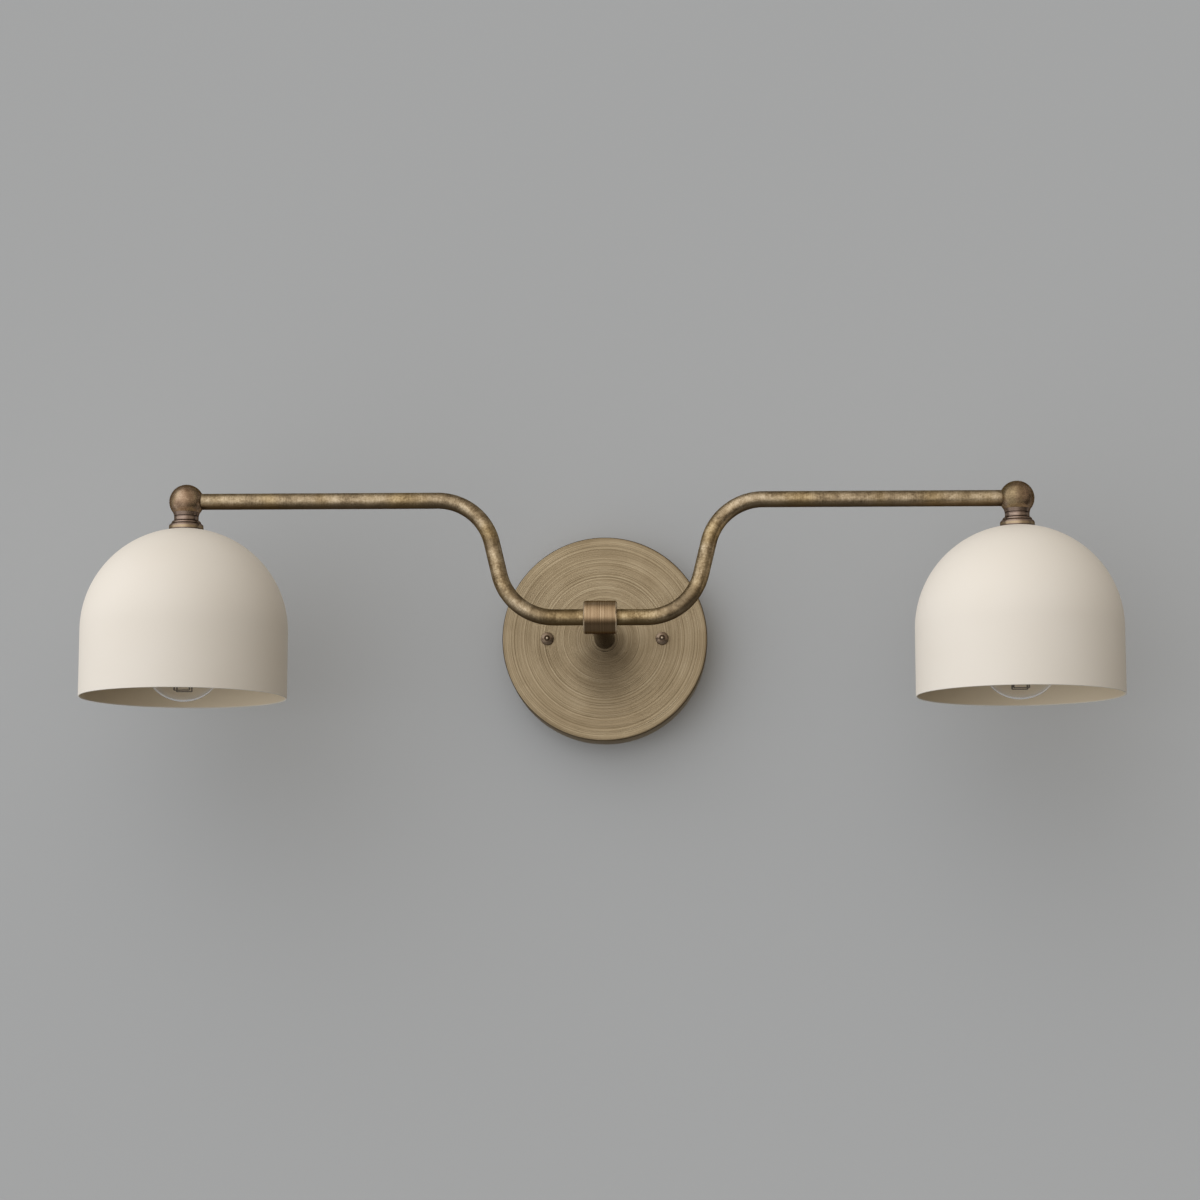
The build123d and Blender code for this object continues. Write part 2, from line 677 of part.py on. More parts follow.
def earth_lead():
    """Lead with a ring under the centre locknut and a ring under the earth screw's head."""
    front = plate_inside - WASHER_T - RING_T / 2
    back = 2 * BAR_T + FACE_GAP + RING_T / 2
    ring_a = ring(thread_r + RING_BAND, thread_r, front + RING_T / 2, front - RING_T / 2)
    hole_b = EARTH_SCREW_R + THREAD_GAP
    ring_b = ring(EARTH_WASHER_R, hole_b, back + RING_T / 2, back - RING_T / 2)
    loop_x = EARTH_X + LEAD_SWING
    start, end = thread_r + RING_BAND / 2, EARTH_X + (hole_b + EARTH_WASHER_R) / 2
    behind_head = back + RING_T / 2 + EARTH_WASHER_T + EARTH_HEX_H + FACE_GAP
    height = max(front, behind_head)
    path = FilletPolyline(
        (start, -height, 0), (loop_x, -height, 0), (loop_x, -back - FACE_GAP, 0), (end, -back - FACE_GAP, 0),
        radius=WIRE_TURN_R,
    )
    lead = round_tube(path, RING_T / 2 - FACE_GAP)
    return outward(ring_a) + outward(ring_b, x=EARTH_X) + lead


# ---- all pieces ----

centre_pieces = {
    "box_bar": box_bar(),
    "stud_bar": stud_bar(),
    "canopy_studs": canopy_studs(),
    "cap_nut_left": cap_nut(-1),
    "cap_nut_right": cap_nut(1),
    "earth_screw": earth_screw(),
    "earth_lead": earth_lead(),
    "backplate": backplate(),
    "stem_ring": stem_ring(),
    "stem": stem(),
    "centre_nipple": centre_nipple(),
    "centre_washer": centre_washer(),
    "centre_locknut": centre_locknut(),
    "hub": hub(),
    "hub_set_screws": hub_set_screws(),
    "wire_connectors": wire_connectors(),
}
under_ball = {
    "ball": ball(),
    "neck": neck(),
    "shade_nipple": shade_nipple(),
    "shade": shade(),
    "shade_washer": shade_washer(),
    "shade_locknut": shade_locknut(),
    "socket_body": socket_body(),
    "socket_shell": socket_shell(),
    "socket_contact": socket_contact(),
    "bulb_contact": bulb_contact(),
    "bulb_insulator": bulb_insulator(),
    "bulb_cap": bulb_cap(),
    "bulb_glass": bulb_glass(),
    "bulb_mount": bulb_mount(),
    "bulb_bridges": bulb_bridges(),
    "bulb_filaments": bulb_filaments(),
}


def moved(shape, place):
    """Places one solid, or a group of solids that share a node."""
    if isinstance(shape, list):
        return [place * one for one in shape]
    return place * shape


def mirrored(shape):
    if isinstance(shape, list):
        return [mirror(one, about=Plane.YZ) for one in shape]
    return mirror(shape, about=Plane.YZ)


def write(name, shape):
    solids = shape if isinstance(shape, list) else [shape]
    export_step(Compound(children=solids) if len(solids) > 1 else solids[0], f"parts/{name}.step")


os.makedirs("parts", exist_ok=True)
for name, shape in centre_pieces.items():
    write(name, shape)

ball_place = Pos(ARM_REACH, -HUB_OUT, ARM_RISE)
right_pieces = {name: moved(shape, ball_place) for name, shape in under_ball.items()}
right_pieces["arm"] = arm()
right_pieces["wires"] = wires()
for name, shape in right_pieces.items():
    write(f"{name}_right", shape)
    write(f"{name}_left", mirrored(shape))
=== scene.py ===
import json
import math
import random

import bmesh
import bpy
from mathutils import Matrix, Vector


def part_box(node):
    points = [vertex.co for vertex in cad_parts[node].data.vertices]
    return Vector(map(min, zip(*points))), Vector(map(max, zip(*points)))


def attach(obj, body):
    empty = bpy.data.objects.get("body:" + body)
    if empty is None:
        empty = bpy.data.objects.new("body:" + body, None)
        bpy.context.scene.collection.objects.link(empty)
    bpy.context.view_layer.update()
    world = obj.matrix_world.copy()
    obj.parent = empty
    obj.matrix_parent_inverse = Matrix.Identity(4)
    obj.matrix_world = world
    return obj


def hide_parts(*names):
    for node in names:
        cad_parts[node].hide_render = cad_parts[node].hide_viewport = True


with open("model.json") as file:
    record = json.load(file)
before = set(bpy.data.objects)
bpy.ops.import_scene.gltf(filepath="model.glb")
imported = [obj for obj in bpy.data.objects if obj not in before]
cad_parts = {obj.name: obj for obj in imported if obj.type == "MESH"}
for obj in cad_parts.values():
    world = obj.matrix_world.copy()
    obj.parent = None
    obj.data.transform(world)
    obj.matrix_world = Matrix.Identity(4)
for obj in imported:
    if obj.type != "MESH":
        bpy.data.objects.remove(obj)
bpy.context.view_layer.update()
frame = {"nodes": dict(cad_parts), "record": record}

# A double arm wall light in aged brass, with two domed shades in bone-coloured paint.
# Metres. +Z is up, the wall is the plane Y = 0, and the light stands out of it along -Y.

MM = 0.001
SIDES = {"left": -1, "right": 1}

# ---- sizes, from the frame where it holds them ----


def half_width(node, axis=0):
    low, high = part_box(node)
    return (high[axis] - low[axis]) / 2


def middle(node):
    low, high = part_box(node)
    return (low + high) / 2


def heights(node):
    """A node's lowest and highest point."""
    return [corner.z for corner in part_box(node)]


def from_wall(node):
    """How far a node's back and front stand from the wall."""
    return sorted(-corner.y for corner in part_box(node))


FIT = 0.05 * MM                 # radial gap of a slipped or screwed joint
PLATE_R = half_width("backplate")
PLATE_DEPTH = from_wall("backplate")[1]
PLATE_WALL = 1.2 * MM
PLATE_EDGE = 1.1 * MM           # roundness of the front edge
PLATE_RIM = 0.3 * MM            # roundness of the rim on the wall
PIPE_R = half_width("centre_nipple")
PIPE_BORE_R = 3.5 * MM
PIPE_PITCH = 0.94 * MM
STUD_R = half_width("canopy_studs", 2)
STUD_PITCH = 0.794 * MM

HUB = middle("hub")
HUB_HALF = half_width("hub")
STEM_R = half_width("stem")
STEM_BORE_R = 4.0 * MM
STEM_RING_R = half_width("stem_ring")

TUBE_R = half_width("arm_right", 1)
TUBE_WALL = 1.0 * MM
ARM_START, ARM_END = [corner.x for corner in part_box("arm_right")]
ARM_RISE = heights("arm_right")[1] - TUBE_R
HUB_RUN = 17.2 * MM             # straight tube between the hub and the first bend
BEND_R = 33.0 * MM
BEND_TURN = math.radians(76.5)

BALL_R = half_width("ball_right", 1)
SHADE_R = half_width("shade_right")
SHADE_WALL = 1.0 * MM
SHADE_REACH = middle("shade_right").x
RIM_Z, CROWN_Z = heights("shade_right")
DOME_Z = CROWN_Z - math.sqrt(SHADE_R**2 - (PIPE_R + FIT) ** 2)

# Turned neck, as depths under the ball's middle
NECK_FOOT = 17.05 * MM
NECK_FOOT_R = half_width("neck_right")
NECK_SEAT = ARM_RISE - heights("neck_right")[1]
NECK_SEAT_R = math.sqrt(BALL_R**2 - NECK_SEAT**2)
NECK_WAIST_R = 7.2 * MM
NECK_THROAT_R = 6.9 * MM        # bottom of each groove
NECK_BEAD_R = 8.7 * MM
NECK_GROOVES = [8.85 * MM, 11.5 * MM, 13.2 * MM]

# Bulb, as heights in the frame
CAP_RIM_Z, CAP_TOP_Z = heights("bulb_cap_right")
CAP_R = half_width("bulb_cap_right")
CAP_BASE_R = half_width("bulb_insulator_right")
CAP_PITCH = 3.63 * MM
CAP_THREAD_DEPTH = 0.7 * MM
CAP_SHEET = 0.6 * MM
GLASS_R = half_width("bulb_glass_right")
GLASS_TIP_Z, GLASS_TOP_Z = heights("bulb_glass_right")
GLASS_NECK_R = 11.3 * MM
GLASS_WALL = 0.4 * MM
STALK_R = 2.4 * MM
LEADS_DROP = 3.6 * MM           # how far the leads reach below the stalk
STALK_END_Z = heights("bulb_mount_right")[0] + LEADS_DROP
ROD_R = 0.85 * MM
ROD_TOP_R, ROD_FOOT_R = 3.4 * MM, 6.4 * MM      # how far the rods' ends stand from the axis
ROD_FOOT_Z, ROD_TOP_Z = heights("bulb_filaments_right")
ROD_FOOT_LIFT = 0.7 * MM        # the middle of a rod's foot over its lowest point

# Wiring behind the backplate
WIRE_PLANE = middle("wire_connectors").y
CONNECTOR_TIP = heights("wire_connectors")[1]
CONNECTOR_MOUTH = CONNECTOR_TIP - 17.0 * MM
EARTH_X = middle("earth_screw").x


# ---- meshes ----


def finished(name, mesh, sharp=32.0):
    """Makes the mesh an object, smooth except at corners sharper than so many degrees."""
    mesh.shade_smooth()
    mesh.set_sharp_from_angle(angle=math.radians(sharp))
    piece = bpy.data.objects.new(name, mesh)
    bpy.context.scene.collection.objects.link(piece)
    return piece


def from_shape(name, vertices, faces, merged=True):
    """A mesh with its faces turned outwards and, where merged, doubled points made one."""
    mesh = bpy.data.meshes.new(name)
    mesh.from_pydata(vertices, [], faces)
    shape = bmesh.new()
    shape.from_mesh(mesh)
    if merged:
        bmesh.ops.remove_doubles(shape, verts=shape.verts, dist=1e-7)
    bmesh.ops.recalc_face_normals(shape, faces=shape.faces)
    shape.to_mesh(mesh)
    shape.free()
    return mesh


def joined(name, *parts):
    """Makes one piece of several."""
    shape = bmesh.new()
    for part in parts:
        shape.from_mesh(part.data)
        bpy.data.objects.remove(part)
    mesh = bpy.data.meshes.new(name)
    shape.to_mesh(mesh)
    shape.free()
    return finished(name, mesh)


def arc(radius, height, bend, start, end, steps=8):
    """(radius, height) points of an arc about a point, from one angle in degrees to another."""
    angles = [math.radians(start + (end - start) * step / steps) for step in range(steps + 1)]
    return [(radius + bend * math.cos(angle), height + bend * math.sin(angle)) for angle in angles]


def softened(*corners):
    """An outline whose corners, given as (radius, height, softening), are rounded off."""
    steps, points = 4, []
    for place, (radius, height, bend) in enumerate(corners):
        corner = Vector((radius, height))
        if not bend:
            points.append(tuple(corner))
            continue
        before = Vector(corners[place - 1][:2]) - corner
        after = Vector(corners[(place + 1) % len(corners)][:2]) - corner
        start = corner + before.normalized() * min(bend, before.length / 2)
        end = corner + after.normalized() * min(bend, after.length / 2)
        for step in range(steps + 1):
            share = step / steps
            point = start * (1 - share) ** 2 + corner * 2 * share * (1 - share) + end * share**2
            points.append(tuple(point))
    return points


def out_of_wall(x=0.0):
    """Local +Z stands out of the wall."""
    return Matrix.Translation((x, 0, 0)) @ Matrix.Rotation(math.pi / 2, 4, "X")


def on_shade_axis(side, z=0.0):
    """Local +Z runs up the middle line of one side's shade, ball and bulb."""
    return Matrix.Translation((SIDES[side] * SHADE_REACH, HUB.y, z))


def turned(name, outline, place, segments, sharp=32.0, shaping=None):
    """Turns a closed (radius, height) outline about local Z. shaping may change a point's radius."""
    vertices, faces = [], []
    count = len(outline)
    for segment in range(segments):
        angle = 2 * math.pi * segment / segments
        for radius, height in outline:
            if shaping:
                radius = shaping(radius, height, angle)
            vertices.append(place @ Vector((radius * math.cos(angle), radius * math.sin(angle), height)))
    for segment in range(segments):
        here, there = segment * count, (segment + 1) % segments * count
        for point in range(count):
            following = (point + 1) % count
            faces.append((here + point, there + point, there + following, here + following))
    return finished(name, from_shape(name, vertices, faces), sharp)


def ring(name, outer, bore, low, high, place, segments=72):
    """A washer, tag or tube with its edges broken."""
    edge = 0.25 * MM
    outline = softened((bore, low, edge), (outer, low, edge), (outer, high, edge), (bore, high, edge))
    return turned(name, outline, place, segments)


SAME_FACE = 0.001 * MM          # radii no further apart than this belong to one face


def thread(root, pitch, depth, low, high):
    """A right-hand thread on the face of that radius between two heights, fading at both ends."""

    def shaping(radius, height, angle):
        if abs(radius - root) > SAME_FACE or not low <= height <= high:
            return radius
        turn = (height / pitch - angle / (2 * math.pi)) % 1.0
        fade = min(1.0, (height - low) / pitch, (high - height) / pitch)
        return radius + depth * fade * (0.5 - 0.5 * math.cos(2 * math.pi * turn))

    return shaping


def hexagon(across, low, high):
    """Six flats whose corners are turned down at both faces."""

    def shaping(radius, height, angle):
        if abs(radius - across / 2) > SAME_FACE:
            return radius
        flat = across / 2 / math.cos(angle % (math.pi / 3) - math.pi / 6)
        return min(flat, across / 2 + 2 * min(height - low, high - height))

    return shaping


def rows(radius, low, high, gap):
    """Points up a straight face, close enough together to carry a thread or a chamfer."""
    count = max(2, round((high - low) / gap))
    return [(radius, low + (high - low) * row / count) for row in range(count + 1)]


def path(corners, bend, steps):
    """(point, heading) pairs along straight runs that arcs of one radius join."""
    corners = [Vector(corner) for corner in corners]
    headings = [(after - before).normalized() for before, after in zip(corners, corners[1:])]
    line = [(corners[0], headings[0])]
    for corner, into, out in zip(corners[1:], headings, headings[1:]):
        turn = into.angle(out)
        inward = (out - into * math.cos(turn)).normalized()
        start = corner - into * bend * math.tan(turn / 2)
        for step in range(steps + 1):
            swing = turn * step / steps
            point = start + into * bend * math.sin(swing) + inward * bend * (1 - math.cos(swing))
            line.append((point, into * math.cos(swing) + inward * math.sin(swing)))
    line.append((corners[-1], headings[-1]))
    return line


def framed(line):
    """Adds to each (point, heading) two directions square to the heading, and the way run so far."""
    side = Vector((0, 1, 0)) if abs(line[0][1].y) < 0.9 else Vector((1, 0, 0))
    run, last, stations = 0.0, line[0][0], []
    for point, heading in line:
        run += (point - last).length
        last = point
        side = (side - heading * side.dot(heading)).normalized()
        stations.append((point, side, heading.cross(side), run))
    return stations


def band(first, second, sides):
    """Faces between two rings of so many points, from the number of each ring's first point."""
    pairs = [(corner, (corner + 1) % sides) for corner in range(sides)]
    return [(first + here, first + there, second + there, second + here) for here, there in pairs]


def swept(name, line, radius, sides, bore=0.0):
    """A round rod or tube along (point, heading) pairs."""
    vertices, faces, along = [], [], []
    sizes = [radius, bore] if bore else [radius]
    for point, side, across, run in framed(line):
        for size in sizes:
            for corner in range(sides):
                angle = 2 * math.pi * corner / sides
                vertices.append(point + (across * math.cos(angle) + side * math.sin(angle)) * size)
                along.append(run / MM)
    step = sides * len(sizes)
    for station in range(len(line) - 1):
        for layer in range(len(sizes)):
            base = station * step + layer * sides
            faces += band(base, base + step, sides)
    for base in (0, (len(line) - 1) * step):
        faces += band(base, base + sides, sides) if bore else [tuple(range(base, base + sides))]
    mesh = from_shape(name, vertices, faces, merged=False)
    mesh.attributes.new("along", "FLOAT", "POINT").data.foreach_set("value", along)
    return finished(name, mesh)


def straight(name, start, end, radius):
    """A round wire between two points."""
    heading = (end - start).normalized()
    return swept(name, [(start, heading), (end, heading)], radius, 16)


# ---- finishes ----


def shade_of(red, green, blue):
    """A colour as it looks on a screen, 0 to 255, made linear."""
    linear = [(c / 255 + 0.055) ** 2.4 / 1.055**2.4 if c > 10 else c / 3294.6 for c in (red, green, blue)]
    return (*linear, 1.0)


class Value:
    """An output of a shader node. Arithmetic on it adds Math nodes."""

    def __init__(self, nodes, output):
        self.nodes = nodes
        self.output = output

    def math(self, operation, *values):
        return self.nodes.add("ShaderNodeMath", {"operation": operation}, dict(enumerate(values)))

    def __add__(self, other):
        return self.math("ADD", self, other)

    def __radd__(self, other):
        return self.math("ADD", other, self)

    def __sub__(self, other):
        return self.math("SUBTRACT", self, other)

    def __rsub__(self, other):
        return self.math("SUBTRACT", other, self)

    def __mul__(self, other):
        return self.math("MULTIPLY", self, other)

    def __rmul__(self, other):
        return self.math("MULTIPLY", other, self)

    def __pow__(self, other):
        return self.math("POWER", self, other)

    def __abs__(self):
        return self.math("ABSOLUTE", self)


class Nodes:
    """The shader nodes of a material or the world, added one at a time."""

    def __init__(self, owner):
        owner.use_nodes = True
        self.tree = owner.node_tree
        self.tree.nodes.clear()

    def add(self, kind, settings=None, sockets=None, output=0):
        node = self.tree.nodes.new(kind)
        for name, value in (settings or {}).items():
            if name == "stops":
                self.fill_ramp(node.color_ramp, value)
            else:
                setattr(node, name, value)
        for key, value in (sockets or {}).items():
            if isinstance(value, Value):
                self.tree.links.new(value.output, node.inputs[key])
            else:
                node.inputs[key].default_value = value
        return Value(self, node.outputs[output]) if node.outputs else None

    @staticmethod
    def fill_ramp(ramp, stops):
        while len(ramp.elements) < len(stops):
            ramp.elements.new(1.0)
        for element, (position, colour) in zip(ramp.elements, stops):
            element.position = position
            element.color = colour

    def vector(self, operation, *values):
        """Vector arithmetic. A dot product or a length comes out as a number."""
        sockets = dict(enumerate(values))
        if operation == "SCALE":
            sockets["Scale"] = sockets.pop(1)
        output = "Value" if operation in ("DOT_PRODUCT", "LENGTH") else "Vector"
        return self.add("ShaderNodeVectorMath", {"operation": operation}, sockets, output)

    def spot(self):
        """Where a point of the piece lies at rest, in millimetres."""
        return self.vector("SCALE", self.add("ShaderNodeTexCoord", output="Object"), 1 / MM)

    def away_from(self, point):
        """The way from a fixed point of the frame to a point of the piece at rest, in millimetres."""
        return self.vector("SUBTRACT", self.spot(), point / MM)

    def coordinate(self, place, axis):
        return self.vector("DOT_PRODUCT", place, along_axis(axis))

    def noise(self, where, scale, detail=2.0, roughness=0.5, distortion=0.0):
        """Noise from 0 to 1. where is a place, or a number for lines, and scale is per millimetre."""
        lines = where.output.type == "VALUE"
        settings = {"noise_dimensions": "1D" if lines else "3D"}
        sockets = {"W" if lines else "Vector": where, "Scale": scale, "Detail": detail}
        sockets.update({"Roughness": roughness, "Distortion": distortion})
        return self.add("ShaderNodeTexNoise", settings, sockets)

    def turned_place(self, axis, centre, stretch):
        """How a turned surface runs: its way along the outline, and a place where noise draws arcs."""
        heading = along_axis(axis)
        away = self.away_from(centre)
        across = self.vector("MULTIPLY", away, Vector((1, 1, 1)) - heading)
        run = self.coordinate(away, axis) + self.vector("LENGTH", across)
        turned_way = self.vector("SCALE", self.vector("NORMALIZE", across), stretch)
        return run, self.vector("ADD", turned_way, self.vector("SCALE", heading, run))

    def arcs(self, place, axis, scale, detail=3.0):
        """Noise in long arcs round a turned surface, fine along its outline alone."""
        stretched = self.vector("MULTIPLY", place, Vector((1, 1, 1)) + along_axis(axis) * (scale - 1))
        return self.noise(stretched, 1.0, detail, 0.62)

    def span(self, value, low, high, to_low=0.0, to_high=1.0):
        """Takes a value from one range to another with soft ends."""
        sockets = {"Value": value, "From Min": low, "From Max": high, "To Min": to_low, "To Max": to_high}
        return self.add("ShaderNodeMapRange", {"interpolation_type": "SMOOTHSTEP"}, sockets)

    def ramp(self, value, *tones):
        """Screen colours spread evenly over a value from 0 to 1."""
        last = len(tones) - 1
        stops = [(number / last, shade_of(*tone)) for number, tone in enumerate(tones)]
        return self.add("ShaderNodeValToRGB", {"stops": stops}, {"Fac": value})

    def mix(self, first, second, share):
        """One colour laid over another. A Mix node takes colours at 6 and 7 and gives one at 2."""
        return self.add("ShaderNodeMix", {"data_type": "RGBA"}, {0: share, 6: first, 7: second}, 2)

    def painted_underside_shade(self, low, high, darkest):
        """Factor on a tone that paints shade: 1 facing up and sideways, down to darkest where the piece faces
        down.
        """
        facing = self.coordinate(self.add("ShaderNodeTexCoord", output="Normal"), 2)
        return self.span(facing, low, high, darkest, 1.0)

    def bump(self, height, depth):
        """Normals of a surface whose height runs from 0 to 1 over a depth in metres."""
        return self.add("ShaderNodeBump", None, {"Height": height, "Distance": depth, "Strength": 1.0})

    def surface(self, **sockets):
        """Ends a material. base_color is the socket Base Color, and so on."""
        named = {}
        for name, value in sockets.items():
            named[name.replace("_", " ").title().replace("Ior", "IOR")] = value
        shader = self.add("ShaderNodeBsdfPrincipled", None, named)
        self.add("ShaderNodeOutputMaterial", None, {"Surface": shader})


def along_axis(axis):
    """One unit along X, Y or Z, for axis 0, 1 or 2."""
    return Vector([float(number == axis) for number in range(3)])


FINISHES = {}


def finish(name):
    """Starts a material, which FINISHES keeps under its name."""
    FINISHES[name] = bpy.data.materials.new(name)
    return Nodes(FINISHES[name])


BRASS = ((112, 97, 74), (137, 121, 96), (152, 136, 110), (176, 161, 135))
RED_BRASS = ((92, 74, 54), (138, 115, 88), (158, 134, 105), (186, 163, 134))
STEM_BRASS = ((66, 56, 43), (92, 79, 62), (108, 94, 75), (130, 115, 94))
NUT_BRONZE = ((80, 67, 55), (122, 105, 88), (150, 131, 112), (186, 168, 148))
NECK_BRONZE = ((96, 80, 70), (130, 111, 99), (150, 131, 117), (176, 158, 142))
EDGE_TINT = (0.30, 0.26, 0.21, 1.0)     # patina darkens what is seen at a slant


def turned_brass(name, axis, centre, tones, scale, groove, rough, stretch=0.8, marks=(), painted_shadow=None):
    """Aged brass brushed on the lathe, with fine rings and long arcs.

    marks are (place along the axis from the centre, half width, colour) of rings painted bright or dark, in
    millimetres: wear, patina, painted highlights and painted shade. painted_shadow is (middle, reach, colour)
    of a painted shadow, higher than it is wide, in metres.
    """
    nodes = finish(name)
    run, place = nodes.turned_place(axis, centre, stretch)
    arcs = nodes.arcs(place, axis, 1.7 * scale)
    broad = nodes.arcs(place, axis, 0.2 * scale, 2.0)
    rings = nodes.noise(run, 1.1 * scale, 4.0, 0.75)
    cloud = nodes.noise(nodes.spot(), 0.05, 3.0, 0.6)
    shading = nodes.span(arcs * 0.45 + rings * 0.95 + broad * 0.25 + cloud * 0.3, 0.62, 1.33)
    if axis == 0:  # only the hub lies along X, and painted shade darkens it where it faces down
        shading = shading * nodes.painted_underside_shade(-0.5, -0.05, 0.15)
    colour = nodes.ramp(shading, *tones)
    # painted shadow: the plate is darker under the stem, fading outwards
    if painted_shadow:
        shadow_middle, reach, tone = painted_shadow
        flattened = nodes.vector("MULTIPLY", nodes.away_from(shadow_middle), Vector((1, 1, 0.6)))
        from_shadow = nodes.vector("LENGTH", flattened)
        colour = nodes.mix(shade_of(*tone), colour, nodes.span(from_shadow, 0.0, reach / MM, 0.3, 1.0))
    along = nodes.coordinate(nodes.away_from(centre), axis)
    # marks paint rings bright or dark: wear, patina, painted highlights and painted shade
    for position, half, tone in marks:
        near = 1 - nodes.span(abs(along - position), 0.4 * half, half)
        colour = nodes.mix(colour, shade_of(*tone), near * 0.8)
    nodes.surface(
        base_color=colour,
        metallic=0.94,
        roughness=rough + arcs * 0.1 + cloud * 0.08,
        specular_tint=EDGE_TINT,
        normal=nodes.bump(arcs * 0.45 + rings * 0.55, groove),
    )


def aged_tube_brass(name):
    """Brass tube under a thin patina: golden and grey stretches, soft grain, fine lines round it, and painted
    shade below.
    """
    nodes = finish(name)
    spot = nodes.spot()
    along = nodes.add("ShaderNodeAttribute", {"attribute_name": "along"}, None, "Fac")
    wander = nodes.noise(spot, 0.25, 2.0)
    lines = nodes.noise(along + wander * 0.6, 2.4, 3.0, 0.7)
    stretches = nodes.noise(along * 0.035 + nodes.noise(spot, 0.1, 2.0) * 0.4, 1.0, 1.0)
    grain = nodes.noise(spot, 0.9, 4.0, 0.65)
    smudges = nodes.noise(spot, 0.14, 3.0, 0.6)
    darkest_patch = nodes.span(along, 60.0, 110.0, 0.4, 0.85)
    patches = nodes.span(nodes.noise(spot, 0.055, 3.0, 0.65), 0.36, 0.56, darkest_patch, 1.0)
    mottled = nodes.span(grain * 0.6 + smudges * 0.55 + lines * 0.35, 0.42, 1.03)
    # painted shade: the tone darkens where the tube faces down
    tone = mottled * patches * nodes.painted_underside_shade(-0.85, -0.3, 0.1)
    golden = nodes.ramp(tone, (84, 68, 44), (146, 125, 91), (194, 173, 136))
    grey = nodes.ramp(tone, (82, 68, 50), (148, 130, 104), (200, 183, 156))
    past_hub = nodes.span(along, 15.0, 45.0)
    colour = nodes.mix(golden, grey, nodes.span(stretches, 0.28, 0.58) * past_hub)
    rough = 0.22 + grain * 0.16 + lines * 0.06
    normal = nodes.bump(lines * 0.4 + grain * 0.6, 0.03 * MM)
    nodes.surface(base_color=colour, metallic=0.93, roughness=rough, specular_tint=EDGE_TINT, normal=normal)


def bone_paint(name):
    """Matt bone-coloured paint with a fine orange peel, a painted highlight along the rim, painted bounce
    light inside.
    """
    nodes = finish(name)
    spot = nodes.spot()
    cloud = nodes.noise(spot, 0.025, 2.0)
    peel = nodes.noise(spot, 2.2, 2.0, 0.5)
    fine = nodes.noise(spot, 6.0, 1.0)
    out = abs(nodes.coordinate(spot, 0)) - SHADE_REACH / MM
    forward = nodes.coordinate(spot, 1) - HUB.y / MM
    height = nodes.coordinate(spot, 2)
    over_dome = height - DOME_Z / MM
    above = over_dome.math("MAXIMUM", over_dome, 0.0)
    from_axis = (out * out + forward * forward + above * above) ** 0.5
    outside = nodes.span(from_axis, (SHADE_R - 0.7 * SHADE_WALL) / MM, (SHADE_R - 0.3 * SHADE_WALL) / MM)
    # painted highlight: a paler band along the lip at the rim
    rim = 1 - nodes.span(height, RIM_Z / MM + 0.3, RIM_Z / MM + 0.7)
    shell = nodes.mix(shade_of(232, 225, 215), shade_of(228, 220, 208), cloud)
    # painted light: the inside is warmer, standing in for light bounced round the shade
    colour = nodes.mix(shade_of(229, 214, 188), shell, outside)
    colour = nodes.mix(colour, shade_of(240, 235, 226), rim * 0.7)
    normal = nodes.bump(peel * 0.8 + fine * 0.2, 0.015 * MM)
    nodes.surface(base_color=colour, roughness=0.5 + peel * 0.12, normal=normal, specular_ior_level=0.3)


def bronzed_ball(name, centre):
    """Brown bronzed brass, polished round the upright axis, with redder and greener clouds."""
    nodes = finish(name)
    spot = nodes.spot()
    _, place = nodes.turned_place(2, centre, 1.2)
    arcs = nodes.arcs(place, 2, 1.5)
    cloud = nodes.noise(spot, 0.13, 4.0, 0.6, 0.3)
    speckle = nodes.noise(spot, 1.4, 3.0, 0.6)
    hue = nodes.noise(spot, 0.09, 2.0)
    shading = nodes.span(arcs * 0.18 + cloud * 0.75 + speckle * 0.35, 0.36, 0.92)
    red = nodes.ramp(shading, (96, 76, 60), (144, 120, 98), (180, 157, 134))
    green = nodes.ramp(shading, (92, 77, 57), (138, 119, 91), (174, 155, 125))
    colour = nodes.mix(red, green, nodes.span(hue, 0.42, 0.66))
    rough = 0.2 + arcs * 0.06 + speckle * 0.08
    normal = nodes.bump(arcs * 0.3 + speckle * 0.7, 0.025 * MM)
    nodes.surface(base_color=colour, metallic=0.94, roughness=rough, specular_tint=EDGE_TINT, normal=normal)


def zinc_steel(name):
    """Zinc-plated steel: faint spangle, fine grain and a few duller patches."""
    nodes = finish(name)
    spot = nodes.spot()
    spangle = nodes.add("ShaderNodeTexVoronoi", None, {"Vector": spot, "Scale": 0.25}, "Color")
    grain = nodes.coordinate(spangle, 0)
    dull = nodes.noise(spot, 0.08, 4.0, 0.6)
    fine = nodes.noise(spot, 1.5, 3.0)
    tone = nodes.span(grain * 0.35 + dull * 0.6 + fine * 0.2, 0.2, 0.95)
    colour = nodes.ramp(tone, (150, 152, 152), (182, 184, 184), (206, 206, 202))
    normal = nodes.bump(fine, 0.02 * MM)
    nodes.surface(base_color=colour, metallic=0.95, roughness=0.32 + dull * 0.25, normal=normal)


def moulded(name, colour, roughness=0.42, speckle=0.06):
    """Moulded plastic with a faint mould texture and slight unevenness of tone."""
    nodes = finish(name)
    spot = nodes.spot()
    cloud = nodes.noise(spot, 0.09, 3.0)
    grain = nodes.noise(spot, 3.0, 2.0)
    darker = shade_of(*(c * (1 - 2 * speckle) for c in colour))
    mixed = nodes.mix(darker, shade_of(*colour), nodes.span(cloud * 0.7 + grain * 0.3, 0.25, 0.75))
    nodes.surface(base_color=mixed, roughness=roughness + grain * 0.14, normal=nodes.bump(grain, 0.02 * MM))


